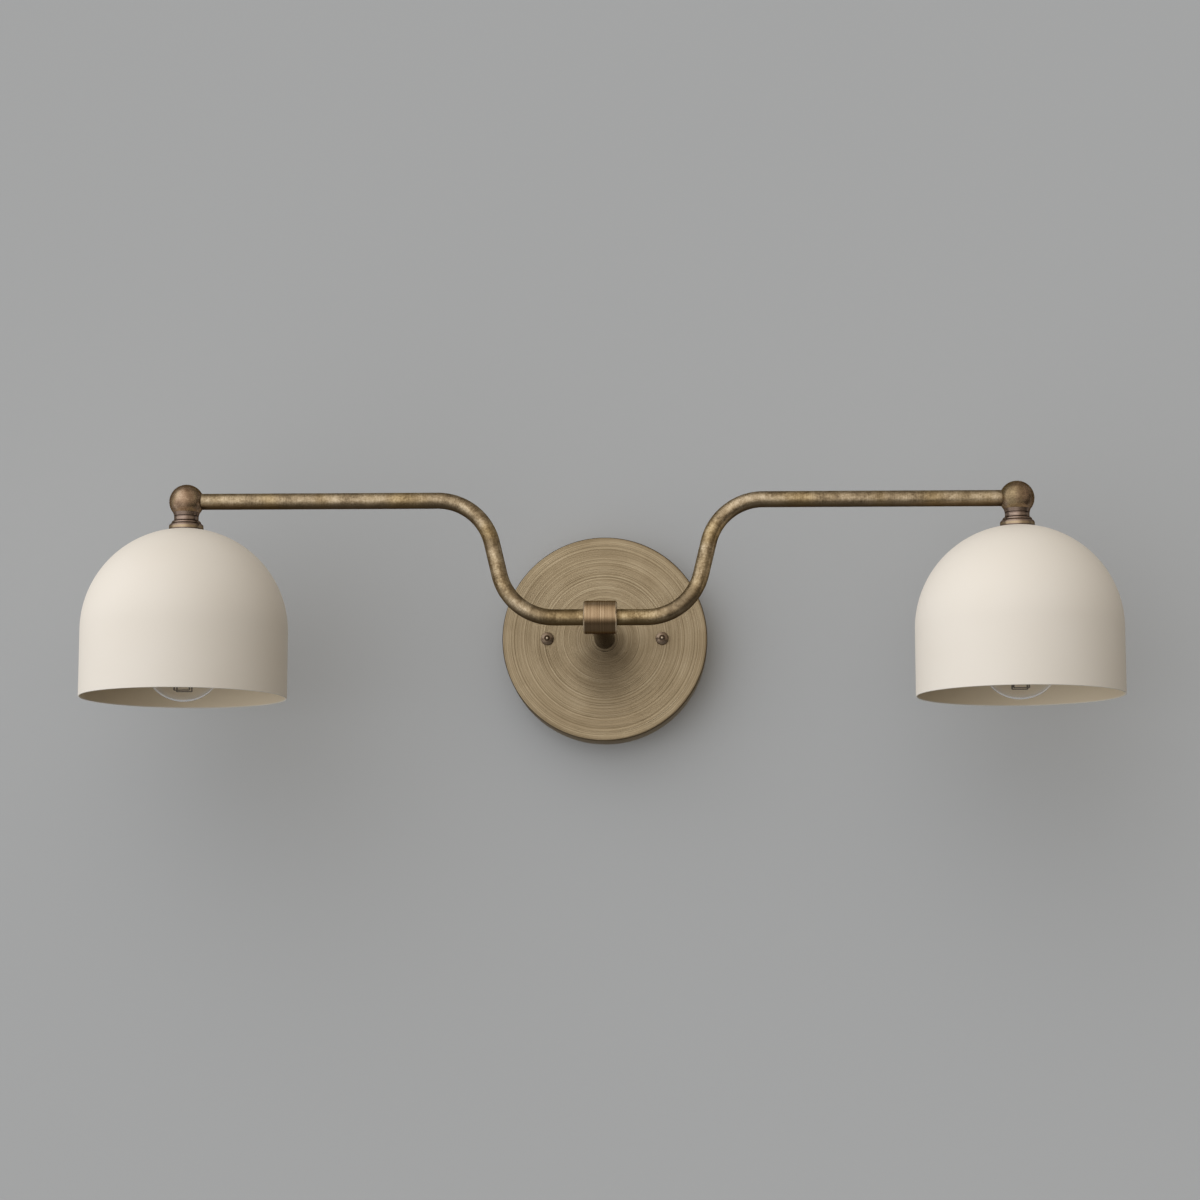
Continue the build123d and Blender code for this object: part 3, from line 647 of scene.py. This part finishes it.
def plain_metal(name, low, high, roughness=0.3):
    """Drawn or pressed metal with fine grain and uneven tarnish."""
    nodes = finish(name)
    spot = nodes.spot()
    tarnish = nodes.noise(spot, 0.18, 4.0, 0.6)
    fine = nodes.noise(spot, 2.4, 3.0, 0.7)
    tone = nodes.span(tarnish * 0.8 + fine * 0.2, 0.3, 0.7)
    colour = nodes.mix(shade_of(*low), shade_of(*high), tone)
    normal = nodes.bump(fine, 0.01 * MM)
    nodes.surface(base_color=colour, metallic=0.95, roughness=roughness + fine * 0.2, normal=normal)


def clear_glass(name):
    """Blown clear glass, very slightly wavy."""
    nodes = finish(name)
    wave = nodes.noise(nodes.spot(), 0.06, 1.0)
    nodes.surface(
        base_color=(1.0, 1.0, 1.0, 1.0),
        roughness=0.0,
        ior=1.2,
        transmission_weight=1.0,
        normal=nodes.bump(wave, 0.05 * MM),
    )


def phosphor(name):
    """Matt yellow coating of the filament rods, a little uneven."""
    nodes = finish(name)
    grain = nodes.noise(nodes.spot(), 1.8, 3.0)
    colour = nodes.mix(shade_of(214, 160, 62), shade_of(233, 190, 96), grain)
    nodes.surface(base_color=colour, roughness=0.55 + grain * 0.1, normal=nodes.bump(grain, 0.03 * MM))


def hub_marks():
    """Both ends of the hub are painted bright: wear on the edges, and a painted highlight on the chamfers."""
    place = HUB_HALF / MM - 0.35
    return [(end * place, 0.5, (222, 202, 172)) for end in (-1, 1)]


def neck_marks(centre_z):
    """Grooves darkened by patina and painted shade, a painted shadow at the seat, a painted highlight on the
    foot.
    """
    # patina and painted shade darken the grooves
    dark = [(ARM_RISE - groove - centre_z, 0.38 * MM, (58, 46, 37)) for groove in NECK_GROOVES]
    # painted shadow where the foot sits on the shade
    seat = (ARM_RISE - NECK_FOOT - centre_z, 0.55 * MM, (40, 32, 25))
    # painted highlight: a golden band on the foot above its seat
    gold = (ARM_RISE - NECK_FOOT + 1.4 * MM - centre_z, 1.0 * MM, (166, 146, 116))
    return [(place / MM, half / MM, tone) for place, half, tone in (gold, *dark, seat)]


# ---- this light's finishes ----

WALL_POINT = Vector((0, 0, 0))
# Painted shadow under the stem, painted shade round the plate's front edge, and a painted highlight on the
# nuts' tips.
STEM_PAINTED_SHADOW = (Vector((1.5 * MM, -PLATE_DEPTH, -15 * MM)), 26 * MM, (78, 66, 50))
RIM_PAINTED_SHADE = [(0.75 - PLATE_DEPTH / MM, 0.6, (58, 47, 34))]
NUT_TIP_HIGHLIGHT = [(-half_width("cap_nut_left", 1) / MM, 0.7, (208, 192, 170))]

zinc_steel("bracket_steel")
plain_metal("earth_green", (34, 92, 52), (52, 122, 72), 0.35)
plain_metal("earth_copper", (150, 92, 62), (196, 128, 92))
moulded("connector_plastic", (206, 108, 44))
moulded("socket_plastic", (42, 40, 38), 0.36)
plain_metal("contact_brass", (160, 130, 78), (206, 178, 118))
moulded("wire_sleeve", (214, 212, 205), 0.4, 0.03)
plain_metal("solder", (150, 150, 150), (188, 188, 190), 0.28)
moulded("bulb_insulator_glass", (26, 25, 30), 0.12)
plain_metal("bulb_cap_metal", (150, 146, 138), (198, 194, 186), 0.25)
clear_glass("clear_glass")
phosphor("filament_phosphor")
plain_metal("filament_leads", (92, 84, 74), (134, 126, 114), 0.35)
bone_paint("bone_paint")
aged_tube_brass("aged_tube_brass")
turned_brass("plate_brass", 1, WALL_POINT, BRASS, 1.0, 0.3 * MM, 0.22, marks=RIM_PAINTED_SHADE, painted_shadow=STEM_PAINTED_SHADOW)
turned_brass("stem_brass", 1, WALL_POINT, STEM_BRASS, 1.2, 0.03 * MM, 0.14)
turned_brass("hub_brass", 0, HUB, RED_BRASS, 1.2, 0.04 * MM, 0.16, 0.5, hub_marks())
for side in SIDES:
    nut, neck = middle(f"cap_nut_{side}"), middle(f"neck_{side}")
    turned_brass(f"nut_bronze_{side}", 1, nut, NUT_BRONZE, 1.6, 0.03 * MM, 0.22, marks=NUT_TIP_HIGHLIGHT)
    turned_brass(f"neck_bronze_{side}", 2, neck, NECK_BRONZE, 1.4, 0.03 * MM, 0.17, 1.0, neck_marks(neck.z))
    bronzed_ball(f"bronzed_ball_{side}", on_shade_axis(side, ARM_RISE).translation)

SLOTS = {part["node"]: part["material_slot"] for part in frame["record"]["subparts"]}
BODIES = {node: body for body, nodes in frame["record"]["behaviour"]["bodies"].items() for node in nodes}
OWN_FINISH = {"hub": "hub_brass", "ball_left": "bronzed_ball_left", "ball_right": "bronzed_ball_right"}


def fit(piece, finish_name, *nodes):
    """Finishes a piece, and puts it in the place of CAD nodes on the body that they ride on."""
    piece.data.materials.append(FINISHES[finish_name])
    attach(piece, BODIES[nodes[0]])
    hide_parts(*nodes)


def dress_carried_nodes():
    """CAD nodes that no piece of this script replaces keep their shape and get a finish."""
    for node, carried in frame["nodes"].items():
        if carried.hide_render:
            continue
        carried.data.materials.clear()
        carried.data.materials.append(FINISHES[OWN_FINISH.get(node, SLOTS[node])])


# ---- backplate, stem and cap nuts ----


def plate_rings(start, end, depth):
    """The turned face: shallow rings of uneven width that the tool and the brush left."""
    draw = random.Random(11)
    narrowest, widest, deepest = 0.3, 0.75, 0.02
    points, radius = [], start
    while radius < end - narrowest * MM:
        points.append((radius, depth - draw.random() * deepest * MM))
        radius += draw.uniform(narrowest, widest) * MM
    return points


def backplate():
    """A dish that is open at the back, with a round front edge and a softened rim on the wall."""
    hole, edge, rim = PIPE_R + FIT, PLATE_EDGE, PLATE_RIM
    inner = PLATE_R - PLATE_WALL
    first_ring = hole + 0.5 * MM
    outline = [(hole, PLATE_DEPTH)]
    outline += plate_rings(first_ring, PLATE_R - edge, PLATE_DEPTH)
    outline += arc(PLATE_R - edge, PLATE_DEPTH - edge, edge, 90, 0, 6)
    outline += arc(PLATE_R - rim, rim, rim, 0, -90, 3)
    outline += arc(inner + rim, rim, rim, -90, -180, 3)
    outline += arc(inner - edge, PLATE_DEPTH - PLATE_WALL - edge, edge, 0, 90, 4)
    outline.append((hole, PLATE_DEPTH - PLATE_WALL))
    fit(turned("backplate_dish", outline, out_of_wall(), 256), "plate_brass", "backplate")


def stem():
    """Stem with broken edges, and the stepped ring at its foot."""
    end = from_wall("stem")[1]
    tube = ring("stem_tube", STEM_R, STEM_BORE_R, PLATE_DEPTH, end, out_of_wall(), 96)
    fit(tube, "stem_brass", "stem")
    foot = from_wall("stem_ring")[1]
    step_r, step = (STEM_RING_R + STEM_R) / 2, 0.4 * MM
    outline = softened(
        (STEM_R + FIT, PLATE_DEPTH, 0),
        (STEM_RING_R, PLATE_DEPTH, 0),
        (STEM_RING_R, foot - step, 0.2 * MM),
        (step_r, foot - step, 0.1 * MM),
        (step_r, foot, 0.2 * MM),
        (STEM_R + FIT, foot, 0),
    )
    fit(turned("stem_foot_ring", outline, out_of_wall(), 96), "plate_brass", "stem_ring")


def cap_nuts():
    """Nuts with a straight band under a coned top that ends in a small round tip."""
    band, hole_top = PLATE_DEPTH + 1.6 * MM, PLATE_DEPTH + 2.65 * MM
    tip_r, tip_rise, edge, bend = 0.9 * MM, 1.25 * MM, 0.15 * MM, 0.5 * MM
    for side in SIDES:
        node = f"cap_nut_{side}"
        radius, top = half_width(node), from_wall(node)[1]
        cone_top_r = 0.45 * radius
        outline = softened(
            (STUD_R + FIT, PLATE_DEPTH, 0),
            (radius, PLATE_DEPTH, edge),
            (radius, band, bend),
            (cone_top_r, top - tip_rise, bend),
        )
        outline += arc(0, top - tip_r, tip_r, 20, 90, 6)
        outline += [(0, hole_top), (STUD_R + FIT, hole_top)]
        piece = turned(f"cap_nut_turned_{side}", outline, out_of_wall(middle(node).x), 72)
        fit(piece, f"nut_bronze_{side}", node)


# ---- arms and necks ----


def arms():
    """Tubes with an S bend up to the balls. The corners are where their straight runs would meet."""
    low_corner = HUB_HALF + HUB_RUN + BEND_R * math.tan(BEND_TURN / 2)
    high_corner = low_corner + ARM_RISE / math.tan(BEND_TURN)
    corners = [(ARM_START, 0), (low_corner, 0), (high_corner, ARM_RISE), (ARM_END, ARM_RISE)]
    for side, way in SIDES.items():
        line = path([(way * x, HUB.y, z) for x, z in corners], BEND_R, 28)
        piece = swept(f"arm_tube_{side}", line, TUBE_R, 64, TUBE_R - TUBE_WALL)
        fit(piece, "aged_tube_brass", f"arm_{side}")


def necks():
    """Collar, waist, bead and round-shouldered foot, with a groove between each two."""
    half_groove, bore = 0.2 * MM, PIPE_R + FIT
    shoulder, hollow, pinch = 1.7 * MM, 0.12 * MM, 0.05 * MM
    foot_in, foot_up = 0.1 * MM, 0.15 * MM
    collar_end, waist_end, bead_end = [-groove for groove in NECK_GROOVES]
    bead_foot = bead_end + half_groove
    rise = waist_end - bead_foot
    bulge = NECK_BEAD_R - NECK_THROAT_R
    bead_bend = (bulge**2 + rise**2) / (2 * bulge)
    bead_start = math.degrees(math.atan2(rise, bead_bend - bulge))
    collar_r = (NECK_SEAT_R + NECK_WAIST_R) / 2 - hollow
    outline = [
        (NECK_SEAT_R, -NECK_SEAT),
        (collar_r, (collar_end - NECK_SEAT) / 2),
        (NECK_WAIST_R, collar_end + half_groove),
        (NECK_THROAT_R, collar_end),
        (NECK_WAIST_R, collar_end - half_groove),
        (NECK_WAIST_R - pinch, (collar_end + waist_end) / 2),
        (NECK_WAIST_R, waist_end + half_groove),
    ]
    outline += arc(NECK_BEAD_R - bead_bend, bead_foot, bead_bend, bead_start, 0, 8)
    outline += arc(NECK_FOOT_R - shoulder, bead_end - shoulder, shoulder, 90, 0, 8)
    outline += [(NECK_FOOT_R, foot_up - NECK_FOOT), (NECK_FOOT_R - foot_in, -NECK_FOOT)]
    outline.append((bore, CROWN_Z - ARM_RISE))
    seat_angle, bore_angle = [-math.degrees(math.acos(radius / BALL_R)) for radius in (NECK_SEAT_R, bore)]
    outline += arc(0, 0, BALL_R, bore_angle, seat_angle, 6)[:-1]
    for side in SIDES:
        piece = turned(f"neck_turned_{side}", outline, on_shade_axis(side, ARM_RISE), 96, 28.0)
        fit(piece, f"neck_bronze_{side}", f"neck_{side}")


# ---- shades ----


def shades():
    """A half sphere on a straight skirt, open below, with a rounded lip."""
    hole = PIPE_R + FIT
    crown = math.degrees(math.acos(hole / SHADE_R))
    inner = SHADE_R - SHADE_WALL
    inner_crown = math.degrees(math.acos(hole / inner))
    lip = SHADE_WALL / 2
    outline = arc(0, DOME_Z, SHADE_R, crown, 0, 48)
    outline += arc(SHADE_R - lip, RIM_Z + lip, lip, 0, -180, 8)
    outline += arc(0, DOME_Z, inner, 0, inner_crown, 48)
    for side in SIDES:
        piece = turned(f"shade_shell_{side}", outline, on_shade_axis(side), 192)
        fit(piece, "bone_paint", f"shade_{side}")


# ---- bulbs ----


def bulb_caps():
    """Rolled metal caps with the rounded thread that screws into the socket."""
    root = CAP_R - CAP_THREAD_DEPTH
    low, high = CAP_RIM_Z + 1.6 * MM, CAP_TOP_Z - 1.0 * MM
    sheet_top = CAP_TOP_Z - CAP_SHEET
    edge_out, edge_down = 0.4 * MM, 0.15 * MM
    outline = [(root, CAP_RIM_Z)] + rows(root, low, high, CAP_PITCH / 12)
    outline += [(CAP_BASE_R + edge_out, CAP_TOP_Z - edge_down), (CAP_BASE_R, CAP_TOP_Z)]
    outline += [(CAP_BASE_R - CAP_SHEET, CAP_TOP_Z), (CAP_BASE_R - CAP_SHEET, sheet_top)]
    outline += [(root - CAP_SHEET, sheet_top), (root - CAP_SHEET, CAP_RIM_Z)]
    shaping = thread(root, CAP_PITCH, CAP_THREAD_DEPTH, low, high)
    for side in SIDES:
        piece = turned(f"bulb_screw_cap_{side}", outline, on_shade_axis(side), 96, 50.0, shaping)
        fit(piece, "bulb_cap_metal", f"bulb_cap_{side}")


def envelope(inset):
    """Half outline of the bulb's glass, from the top of its neck to its tip."""
    neck, belly, belly_z = GLASS_NECK_R - inset, GLASS_R - inset, GLASS_TIP_Z + GLASS_R
    steps = 28
    points = [(neck, GLASS_TOP_Z)]
    for step in range(steps):
        share = step / steps
        widening = 0.5 - 0.5 * math.cos(math.pi * share)
        points.append((neck + (belly - neck) * widening, CAP_RIM_Z + (belly_z - CAP_RIM_Z) * share))
    return points + arc(0, belly_z, belly, 0, -90, steps)


def bulb_glasses():
    """The envelope, and the stalk inside that flares out to its neck."""
    flare_r = GLASS_NECK_R - GLASS_WALL - 0.3 * MM
    flare_edge, flare_bend, bend_drop = 0.8 * MM, 8 * MM, 10 * MM
    glass = envelope(0) + envelope(GLASS_WALL)[::-1]
    stalk = [(0, GLASS_TOP_Z), (flare_r, GLASS_TOP_Z), (flare_r, GLASS_TOP_Z - flare_edge)]
    stalk += arc(STALK_R + flare_bend, GLASS_TOP_Z - bend_drop, flare_bend, 110, 180, 12)
    stalk += arc(0, STALK_END_Z + STALK_R, STALK_R, 0, -90, 8)
    for side in SIDES:
        place = on_shade_axis(side)
        fit(turned(f"bulb_envelope_{side}", glass, place, 128), "clear_glass", f"bulb_glass_{side}")
        fit(turned(f"bulb_stalk_{side}", stalk, place, 64), "clear_glass", f"bulb_mount_{side}")


def rod_ends(number, middle_line):
    """Upper and lower end of one of a bulb's four filament rods."""
    angle = math.radians(45 + 90 * number)
    out = Vector((math.cos(angle), math.sin(angle), 0))
    top = middle_line + out * ROD_TOP_R + Vector((0, 0, ROD_TOP_Z - ROD_R))
    foot = middle_line + out * ROD_FOOT_R + Vector((0, 0, ROD_FOOT_Z + ROD_FOOT_LIFT))
    return top, foot


def coated_rod(name, start, end):
    """A filament rod with rounded ends."""
    heading = (start - end).normalized()
    length = (start - end).length
    outline = arc(0, ROD_R, ROD_R, -90, 0, 5) + arc(0, length - ROD_R, ROD_R, 0, 90, 5)
    turn = Vector((0, 0, 1)).rotation_difference(heading).to_matrix().to_4x4()
    return turned(name, outline, Matrix.Translation(end) @ turn, 24)


def bulb_filaments():
    """Four coated rods in a cage, their bare metal ends, and the wires from the stalk and between them."""
    lead_r, bare_top, bare_foot, sunk = 0.3 * MM, 0.8 * MM, 2.6 * MM, 1.2 * MM
    for side in SIDES:
        axis = on_shade_axis(side).translation
        stalk_foot = axis + Vector((0, 0, STALK_END_Z + sunk))
        ends = [rod_ends(number, axis) for number in range(4)]
        rods, leads = [], []
        for number, (top, foot) in enumerate(ends):
            down = (foot - top).normalized()
            rods.append(coated_rod(f"rod_{number}", top + down * bare_top, foot - down * bare_foot))
            leads.append(straight(f"top_{number}", stalk_foot, top, lead_r))
            leads.append(straight(f"head_{number}", top, top + down * 2 * bare_top, 1.4 * lead_r))
            leads.append(straight(f"tab_{number}", foot - down * 1.3 * bare_foot, foot, 1.5 * lead_r))
        for number in (0, 2):
            leads.append(straight(f"link_{number}", ends[number][1], ends[number + 1][1], lead_r))
        fit(joined(f"filament_rods_{side}", *rods), "filament_phosphor", f"bulb_filaments_{side}")
        fit(joined(f"filament_leads_{side}", *leads), "filament_leads", f"bulb_bridges_{side}")


# ---- fasteners and wiring behind the backplate ----


def threaded_rod(name, crest, bore, pitch, low, high, place):
    """A rod or pipe threaded along its whole length, with bevelled ends."""
    depth = 0.5 * pitch
    root = crest - depth
    face = rows(root, low + depth, high - depth, pitch / 6)
    outline = [(bore, low), (root - depth, low), *face, (root - depth, high), (bore, high)]
    return turned(name, outline, place, 36, 75.0, thread(root, pitch, depth, low + depth, high - depth))


def hex_nut(name, across, low, high, place):
    """A nut whose six corners are turned down at both faces."""
    bore, corner, edge, gap = PIPE_R + FIT, 0.6 * MM, 0.3 * MM, 0.1 * MM
    outline = [(bore + edge, low)] + rows(across / 2, low, low + corner, gap)
    outline += rows(across / 2, high - corner, high, gap) + [(bore + edge, high)]
    outline += [(bore, high - edge), (bore, low + edge)]
    return turned(name, outline, place, 72, 20.0, hexagon(across, low, high))


def clamping_pair(group, side, place, ends, flats):
    """The washer and the nut on a nipple. flats is the axis that two of the nut's flats face."""
    node = f"{group}_washer{side}"
    low, high = ends(node)
    piece = ring(f"{group}_flat_washer{side}", half_width(node), PIPE_R + FIT, low, high, place)
    fit(piece, "bracket_steel", node)
    node = f"{group}_locknut{side}"
    low, high = ends(node)
    piece = hex_nut(f"{group}_hex_nut{side}", 2 * half_width(node, flats), low, high, place)
    fit(piece, "bracket_steel", node)


def clamping_pieces():
    """Nipple, washer and nut behind the stem, and the washer and nut inside each shade."""
    back, front = from_wall("centre_nipple")
    pipe = threaded_rod("centre_pipe", PIPE_R, PIPE_BORE_R, PIPE_PITCH, back, front, out_of_wall())
    fit(pipe, "bracket_steel", "centre_nipple")
    clamping_pair("centre", "", out_of_wall(), from_wall, 2)
    for side in SIDES:
        clamping_pair("shade", f"_{side}", on_shade_axis(side), heights, 1)


def studs():
    """The two studs that the cap nuts screw on to."""
    back, front = from_wall("canopy_studs")
    for side in SIDES:
        place = out_of_wall(middle(f"cap_nut_{side}").x)
        piece = threaded_rod(f"stud_threaded_{side}", STUD_R, 0.0, STUD_PITCH, back, front, place)
        fit(piece, "bracket_steel", "canopy_studs")


def wire_connectors():
    """Ribbed twist-on caps over the two pairs of wires."""
    mouth, tip, bore_end = CONNECTOR_MOUTH, CONNECTOR_TIP, CONNECTOR_MOUTH + 10 * MM
    mouth_r, tip_r, grip_r, flare_r = 5.5 * MM, 4.0 * MM, 2.25 * MM, 3.4 * MM
    ribs_start, ribs_end, rib_depth, rib_count = mouth + 2.6 * MM, tip - 1.6 * MM, 0.4 * MM, 12
    edge, tip_bend, side_start, side_rows = 0.3 * MM, 1.5 * MM, mouth + 2 * MM, 14
    outside_r = 3.9 * MM

    def ribs(radius, height, angle):
        if radius < outside_r or height < ribs_start or height > ribs_end:
            return radius
        fade = min(1.0, (height - ribs_start) / MM, (ribs_end - height) / MM)
        return radius - rib_depth * fade * (0.5 + 0.5 * math.cos(rib_count * angle))

    outline = [(flare_r, mouth), (mouth_r - edge, mouth), (mouth_r, mouth + edge)]
    for row in range(side_rows + 1):
        share = row / side_rows
        height = side_start + (tip - tip_bend - side_start) * share
        outline.append((mouth_r + (tip_r - mouth_r) * share, height))
    outline += arc(tip_r - tip_bend, tip - tip_bend, tip_bend, 0, 90, 6)
    outline += [(0, tip), (0, bore_end), (grip_r, bore_end), (grip_r, mouth + flare_r)]
    for name, turn in (("upper", 0), ("lower", math.pi)):
        place = Matrix.Translation((0, WIRE_PLANE, 0)) @ Matrix.Rotation(turn, 4, "X")
        piece = turned(f"wire_cap_{name}", outline, place, 96, 40.0, ribs)
        fit(piece, "connector_plastic", "wire_connectors")


def twisted(name, line, strand_r, strands, lay):
    """Strands that wind round a line, one turn in each lay."""
    parts = []
    stations = framed(line)
    for strand in range(strands):
        points = []
        for point, side, across, run in stations:
            angle = 2 * math.pi * (run / lay + strand / strands)
            points.append(point + (side * math.cos(angle) + across * math.sin(angle)) * strand_r)
        before, after = [points[0], *points], [*points[1:], points[-1]]
        headings = [(there - here).normalized() for here, there in zip(before, after)]
        parts.append(swept(f"{name}_{strand}", list(zip(points, headings)), strand_r, 10))
    return joined(name, *parts)


def filled_in(line, gap):
    """The same line with stations no further apart than a gap."""
    full = [line[0]]
    for (start, _), (end, heading) in zip(line, line[1:]):
        count = max(1, math.ceil((end - start).length / gap))
        full += [(start.lerp(end, step / count), heading) for step in range(1, count + 1)]
    return full


def earth_lead():
    """Bare twisted copper lead between a ring on the nipple and a ring under the green screw."""
    tag, bore, band = 0.8 * MM, PIPE_R + FIT, 3.2 * MM
    outer = bore + band
    front = PLATE_DEPTH - PLATE_WALL - half_width("centre_washer", 1) * 2
    first = ring("front_tag", outer, bore, front - tag, front, out_of_wall())
    seat = from_wall("earth_lead")[0]
    washer_r, hole = half_width("earth_screw"), 2.45 * MM
    second = ring("back_tag", washer_r, hole, seat, seat + tag, out_of_wall(EARTH_X))
    front_line, back_line = front - tag / 2, seat + tag / 2 + FIT
    loop_x, strand_r = EARTH_X + 11 * MM, 0.17 * MM
    corners = [
        (bore + band / 2, -front_line, 0),
        (loop_x, -front_line, 0),
        (loop_x, -back_line, 0),
        (EARTH_X + (hole + washer_r) / 2, -back_line, 0),
    ]
    line = filled_in(path(corners, 4 * MM, 16), 0.5 * MM)
    lead = twisted("lead", line, strand_r, 3, 3 * MM)
    fit(joined("earth_lead_twisted", first, second, lead), "earth_copper", "earth_lead")


def earth_screw():
    """Green screw with a flanged hexagon head."""
    end, top = from_wall("earth_screw")
    flange_r, across, shank_r, pitch = half_width("earth_screw"), 8.0 * MM, 2.4 * MM, 0.8 * MM
    seat, flange_top = top - 4.0 * MM, top - 3.0 * MM
    depth, corner, edge, narrow = 0.4 * MM, 0.4 * MM, 0.3 * MM, 0.2 * MM
    root, flat = shank_r - depth, across / 2
    thread_start, thread_end = end + edge, seat - 0.05 * MM
    skirt_r, rim_r, hollow_r = flat + 0.75 * MM, flat - 0.8 * MM, flat - 1.3 * MM
    outline = [(0, end), (root - edge, end)] + rows(root, thread_start, thread_end, pitch / 6)
    outline += [(root, seat), (flange_r - narrow, seat), (flange_r, seat + edge)]
    outline += [(flange_r - edge, flange_top - narrow), (skirt_r, flange_top)]
    outline += rows(flat, flange_top, top - corner, 0.5 * MM)
    outline += rows(flat, top - corner, top, 0.1 * MM)
    outline += [(rim_r, top), (hollow_r, top - edge), (0, top - edge)]
    cut = thread(root, pitch, depth, thread_start, thread_end)
    flats = hexagon(across, -top, top)  # with its corners turned down on top alone

    def shaping(radius, height, angle):
        return flats(radius, height, angle) if height > seat else cut(radius, height, angle)

    piece = turned("earth_screw_green", outline, out_of_wall(EARTH_X), 72, 25.0, shaping)
    fit(piece, "earth_green", "earth_screw")


backplate()
stem()
cap_nuts()
arms()
necks()
shades()
bulb_caps()
bulb_glasses()
bulb_filaments()
clamping_pieces()
studs()
wire_connectors()
earth_lead()
earth_screw()
dress_carried_nodes()


# ---- wall and floor, light and camera ----


def stage_finish():
    """Pale matt sweep, seen from its front alone, that neither shades nor lights the part.

    Metal mirrors it evenly lit, so that the dish's inside can be seen from behind.
    """
    nodes = finish("stage_sweep")
    rays = ("Is Camera Ray", "Is Glossy Ray", "Is Transmission Ray")
    direct, mirrored, through = [nodes.add("ShaderNodeLightPath", None, None, ray) for ray in rays]
    behind = nodes.add("ShaderNodeNewGeometry", None, None, "Backfacing")
    seen = nodes.span(direct + mirrored + through, 0.0, 0.5) * (1 - behind)
    clear = nodes.add("ShaderNodeBsdfTransparent")
    matt = nodes.add("ShaderNodeBsdfDiffuse", None, {"Color": shade_of(176, 178, 180)})
    even = nodes.add("ShaderNodeEmission", None, {"Color": shade_of(160, 160, 160), "Strength": 1.0})
    lit = nodes.add("ShaderNodeMixShader", None, {0: mirrored, 1: matt, 2: even})
    mixed = nodes.add("ShaderNodeMixShader", None, {0: seen, 1: clear, 2: lit})
    nodes.add("ShaderNodeOutputMaterial", None, {"Surface": mixed})


def sweep():
    """The wall behind the light, curving into a floor below it."""
    wall_y, floor_z, cove, width, height, reach = 0.0005, -1.7, 0.4, 2.5, 1.6, 1.2
    line = [(-reach, floor_z), *arc(wall_y - cove, floor_z + cove, cove, -90, 0, 15), (wall_y, height)]
    vertices = [(x, y, z) for y, z in line for x in (-width, width)]
    faces = [(2 * row, 2 * row + 1, 2 * row + 3, 2 * row + 2) for row in range(len(line) - 1)]
    mesh = bpy.data.meshes.new("sweep")
    mesh.from_pydata(vertices, [], faces)
    mesh.shade_smooth()
    stage_finish()
    mesh.materials.append(FINISHES["stage_sweep"])
    piece = bpy.data.objects.new("sweep", mesh)
    bpy.context.scene.collection.objects.link(piece)


def lights():
    """Soft light from the world: broad from the left, dimmer from above the camera and from behind."""
    world = bpy.data.worlds.new("studio")
    bpy.context.scene.world = world
    nodes = Nodes(world)
    way = nodes.add("ShaderNodeTexCoord", output="Generated")
    to_left, to_above = Vector((-0.80, -0.59, 0.10)), Vector((0.16, -0.85, 0.50))
    left = nodes.vector("DOT_PRODUCT", way, to_left)
    above = nodes.vector("DOT_PRODUCT", way, to_above)
    behind = nodes.coordinate(way, 1)
    horizon = nodes.span(nodes.coordinate(way, 2), -0.45, 0.0, 0.62, 1.0)
    key = nodes.span(left, 0.05, 0.85)
    fill = nodes.span(above, 0.15, 0.85, 0.08, 0.52) + nodes.span(behind, 0.0, 0.8, 0.0, 0.42)
    tint = nodes.mix((1.0, 0.92, 0.80, 1.0), (0.99, 1.0, 1.015, 1.0), key)
    strength = (key * 1.15 + fill * 1.05) * horizon
    glow = nodes.add("ShaderNodeBackground", None, {"Color": tint, "Strength": strength})
    nodes.add("ShaderNodeOutputWorld", None, {"Surface": glow})


def camera():
    """The photograph's view, from a little below and to the right."""
    tilt_up, turn_left = 0.1365, 0.0277
    lens = bpy.data.cameras.new("camera")
    lens.sensor_width = 36.0
    lens.lens = 86.67
    view = bpy.data.objects.new("camera", lens)
    view.location = (0.04625, -1.80031, -0.21973)
    view.rotation_euler = (math.pi / 2 + tilt_up, 0, turn_left)
    bpy.context.scene.collection.objects.link(view)
    bpy.context.scene.camera = view


sweep()
lights()
camera()
bpy.context.scene.view_settings.view_transform = "Standard"
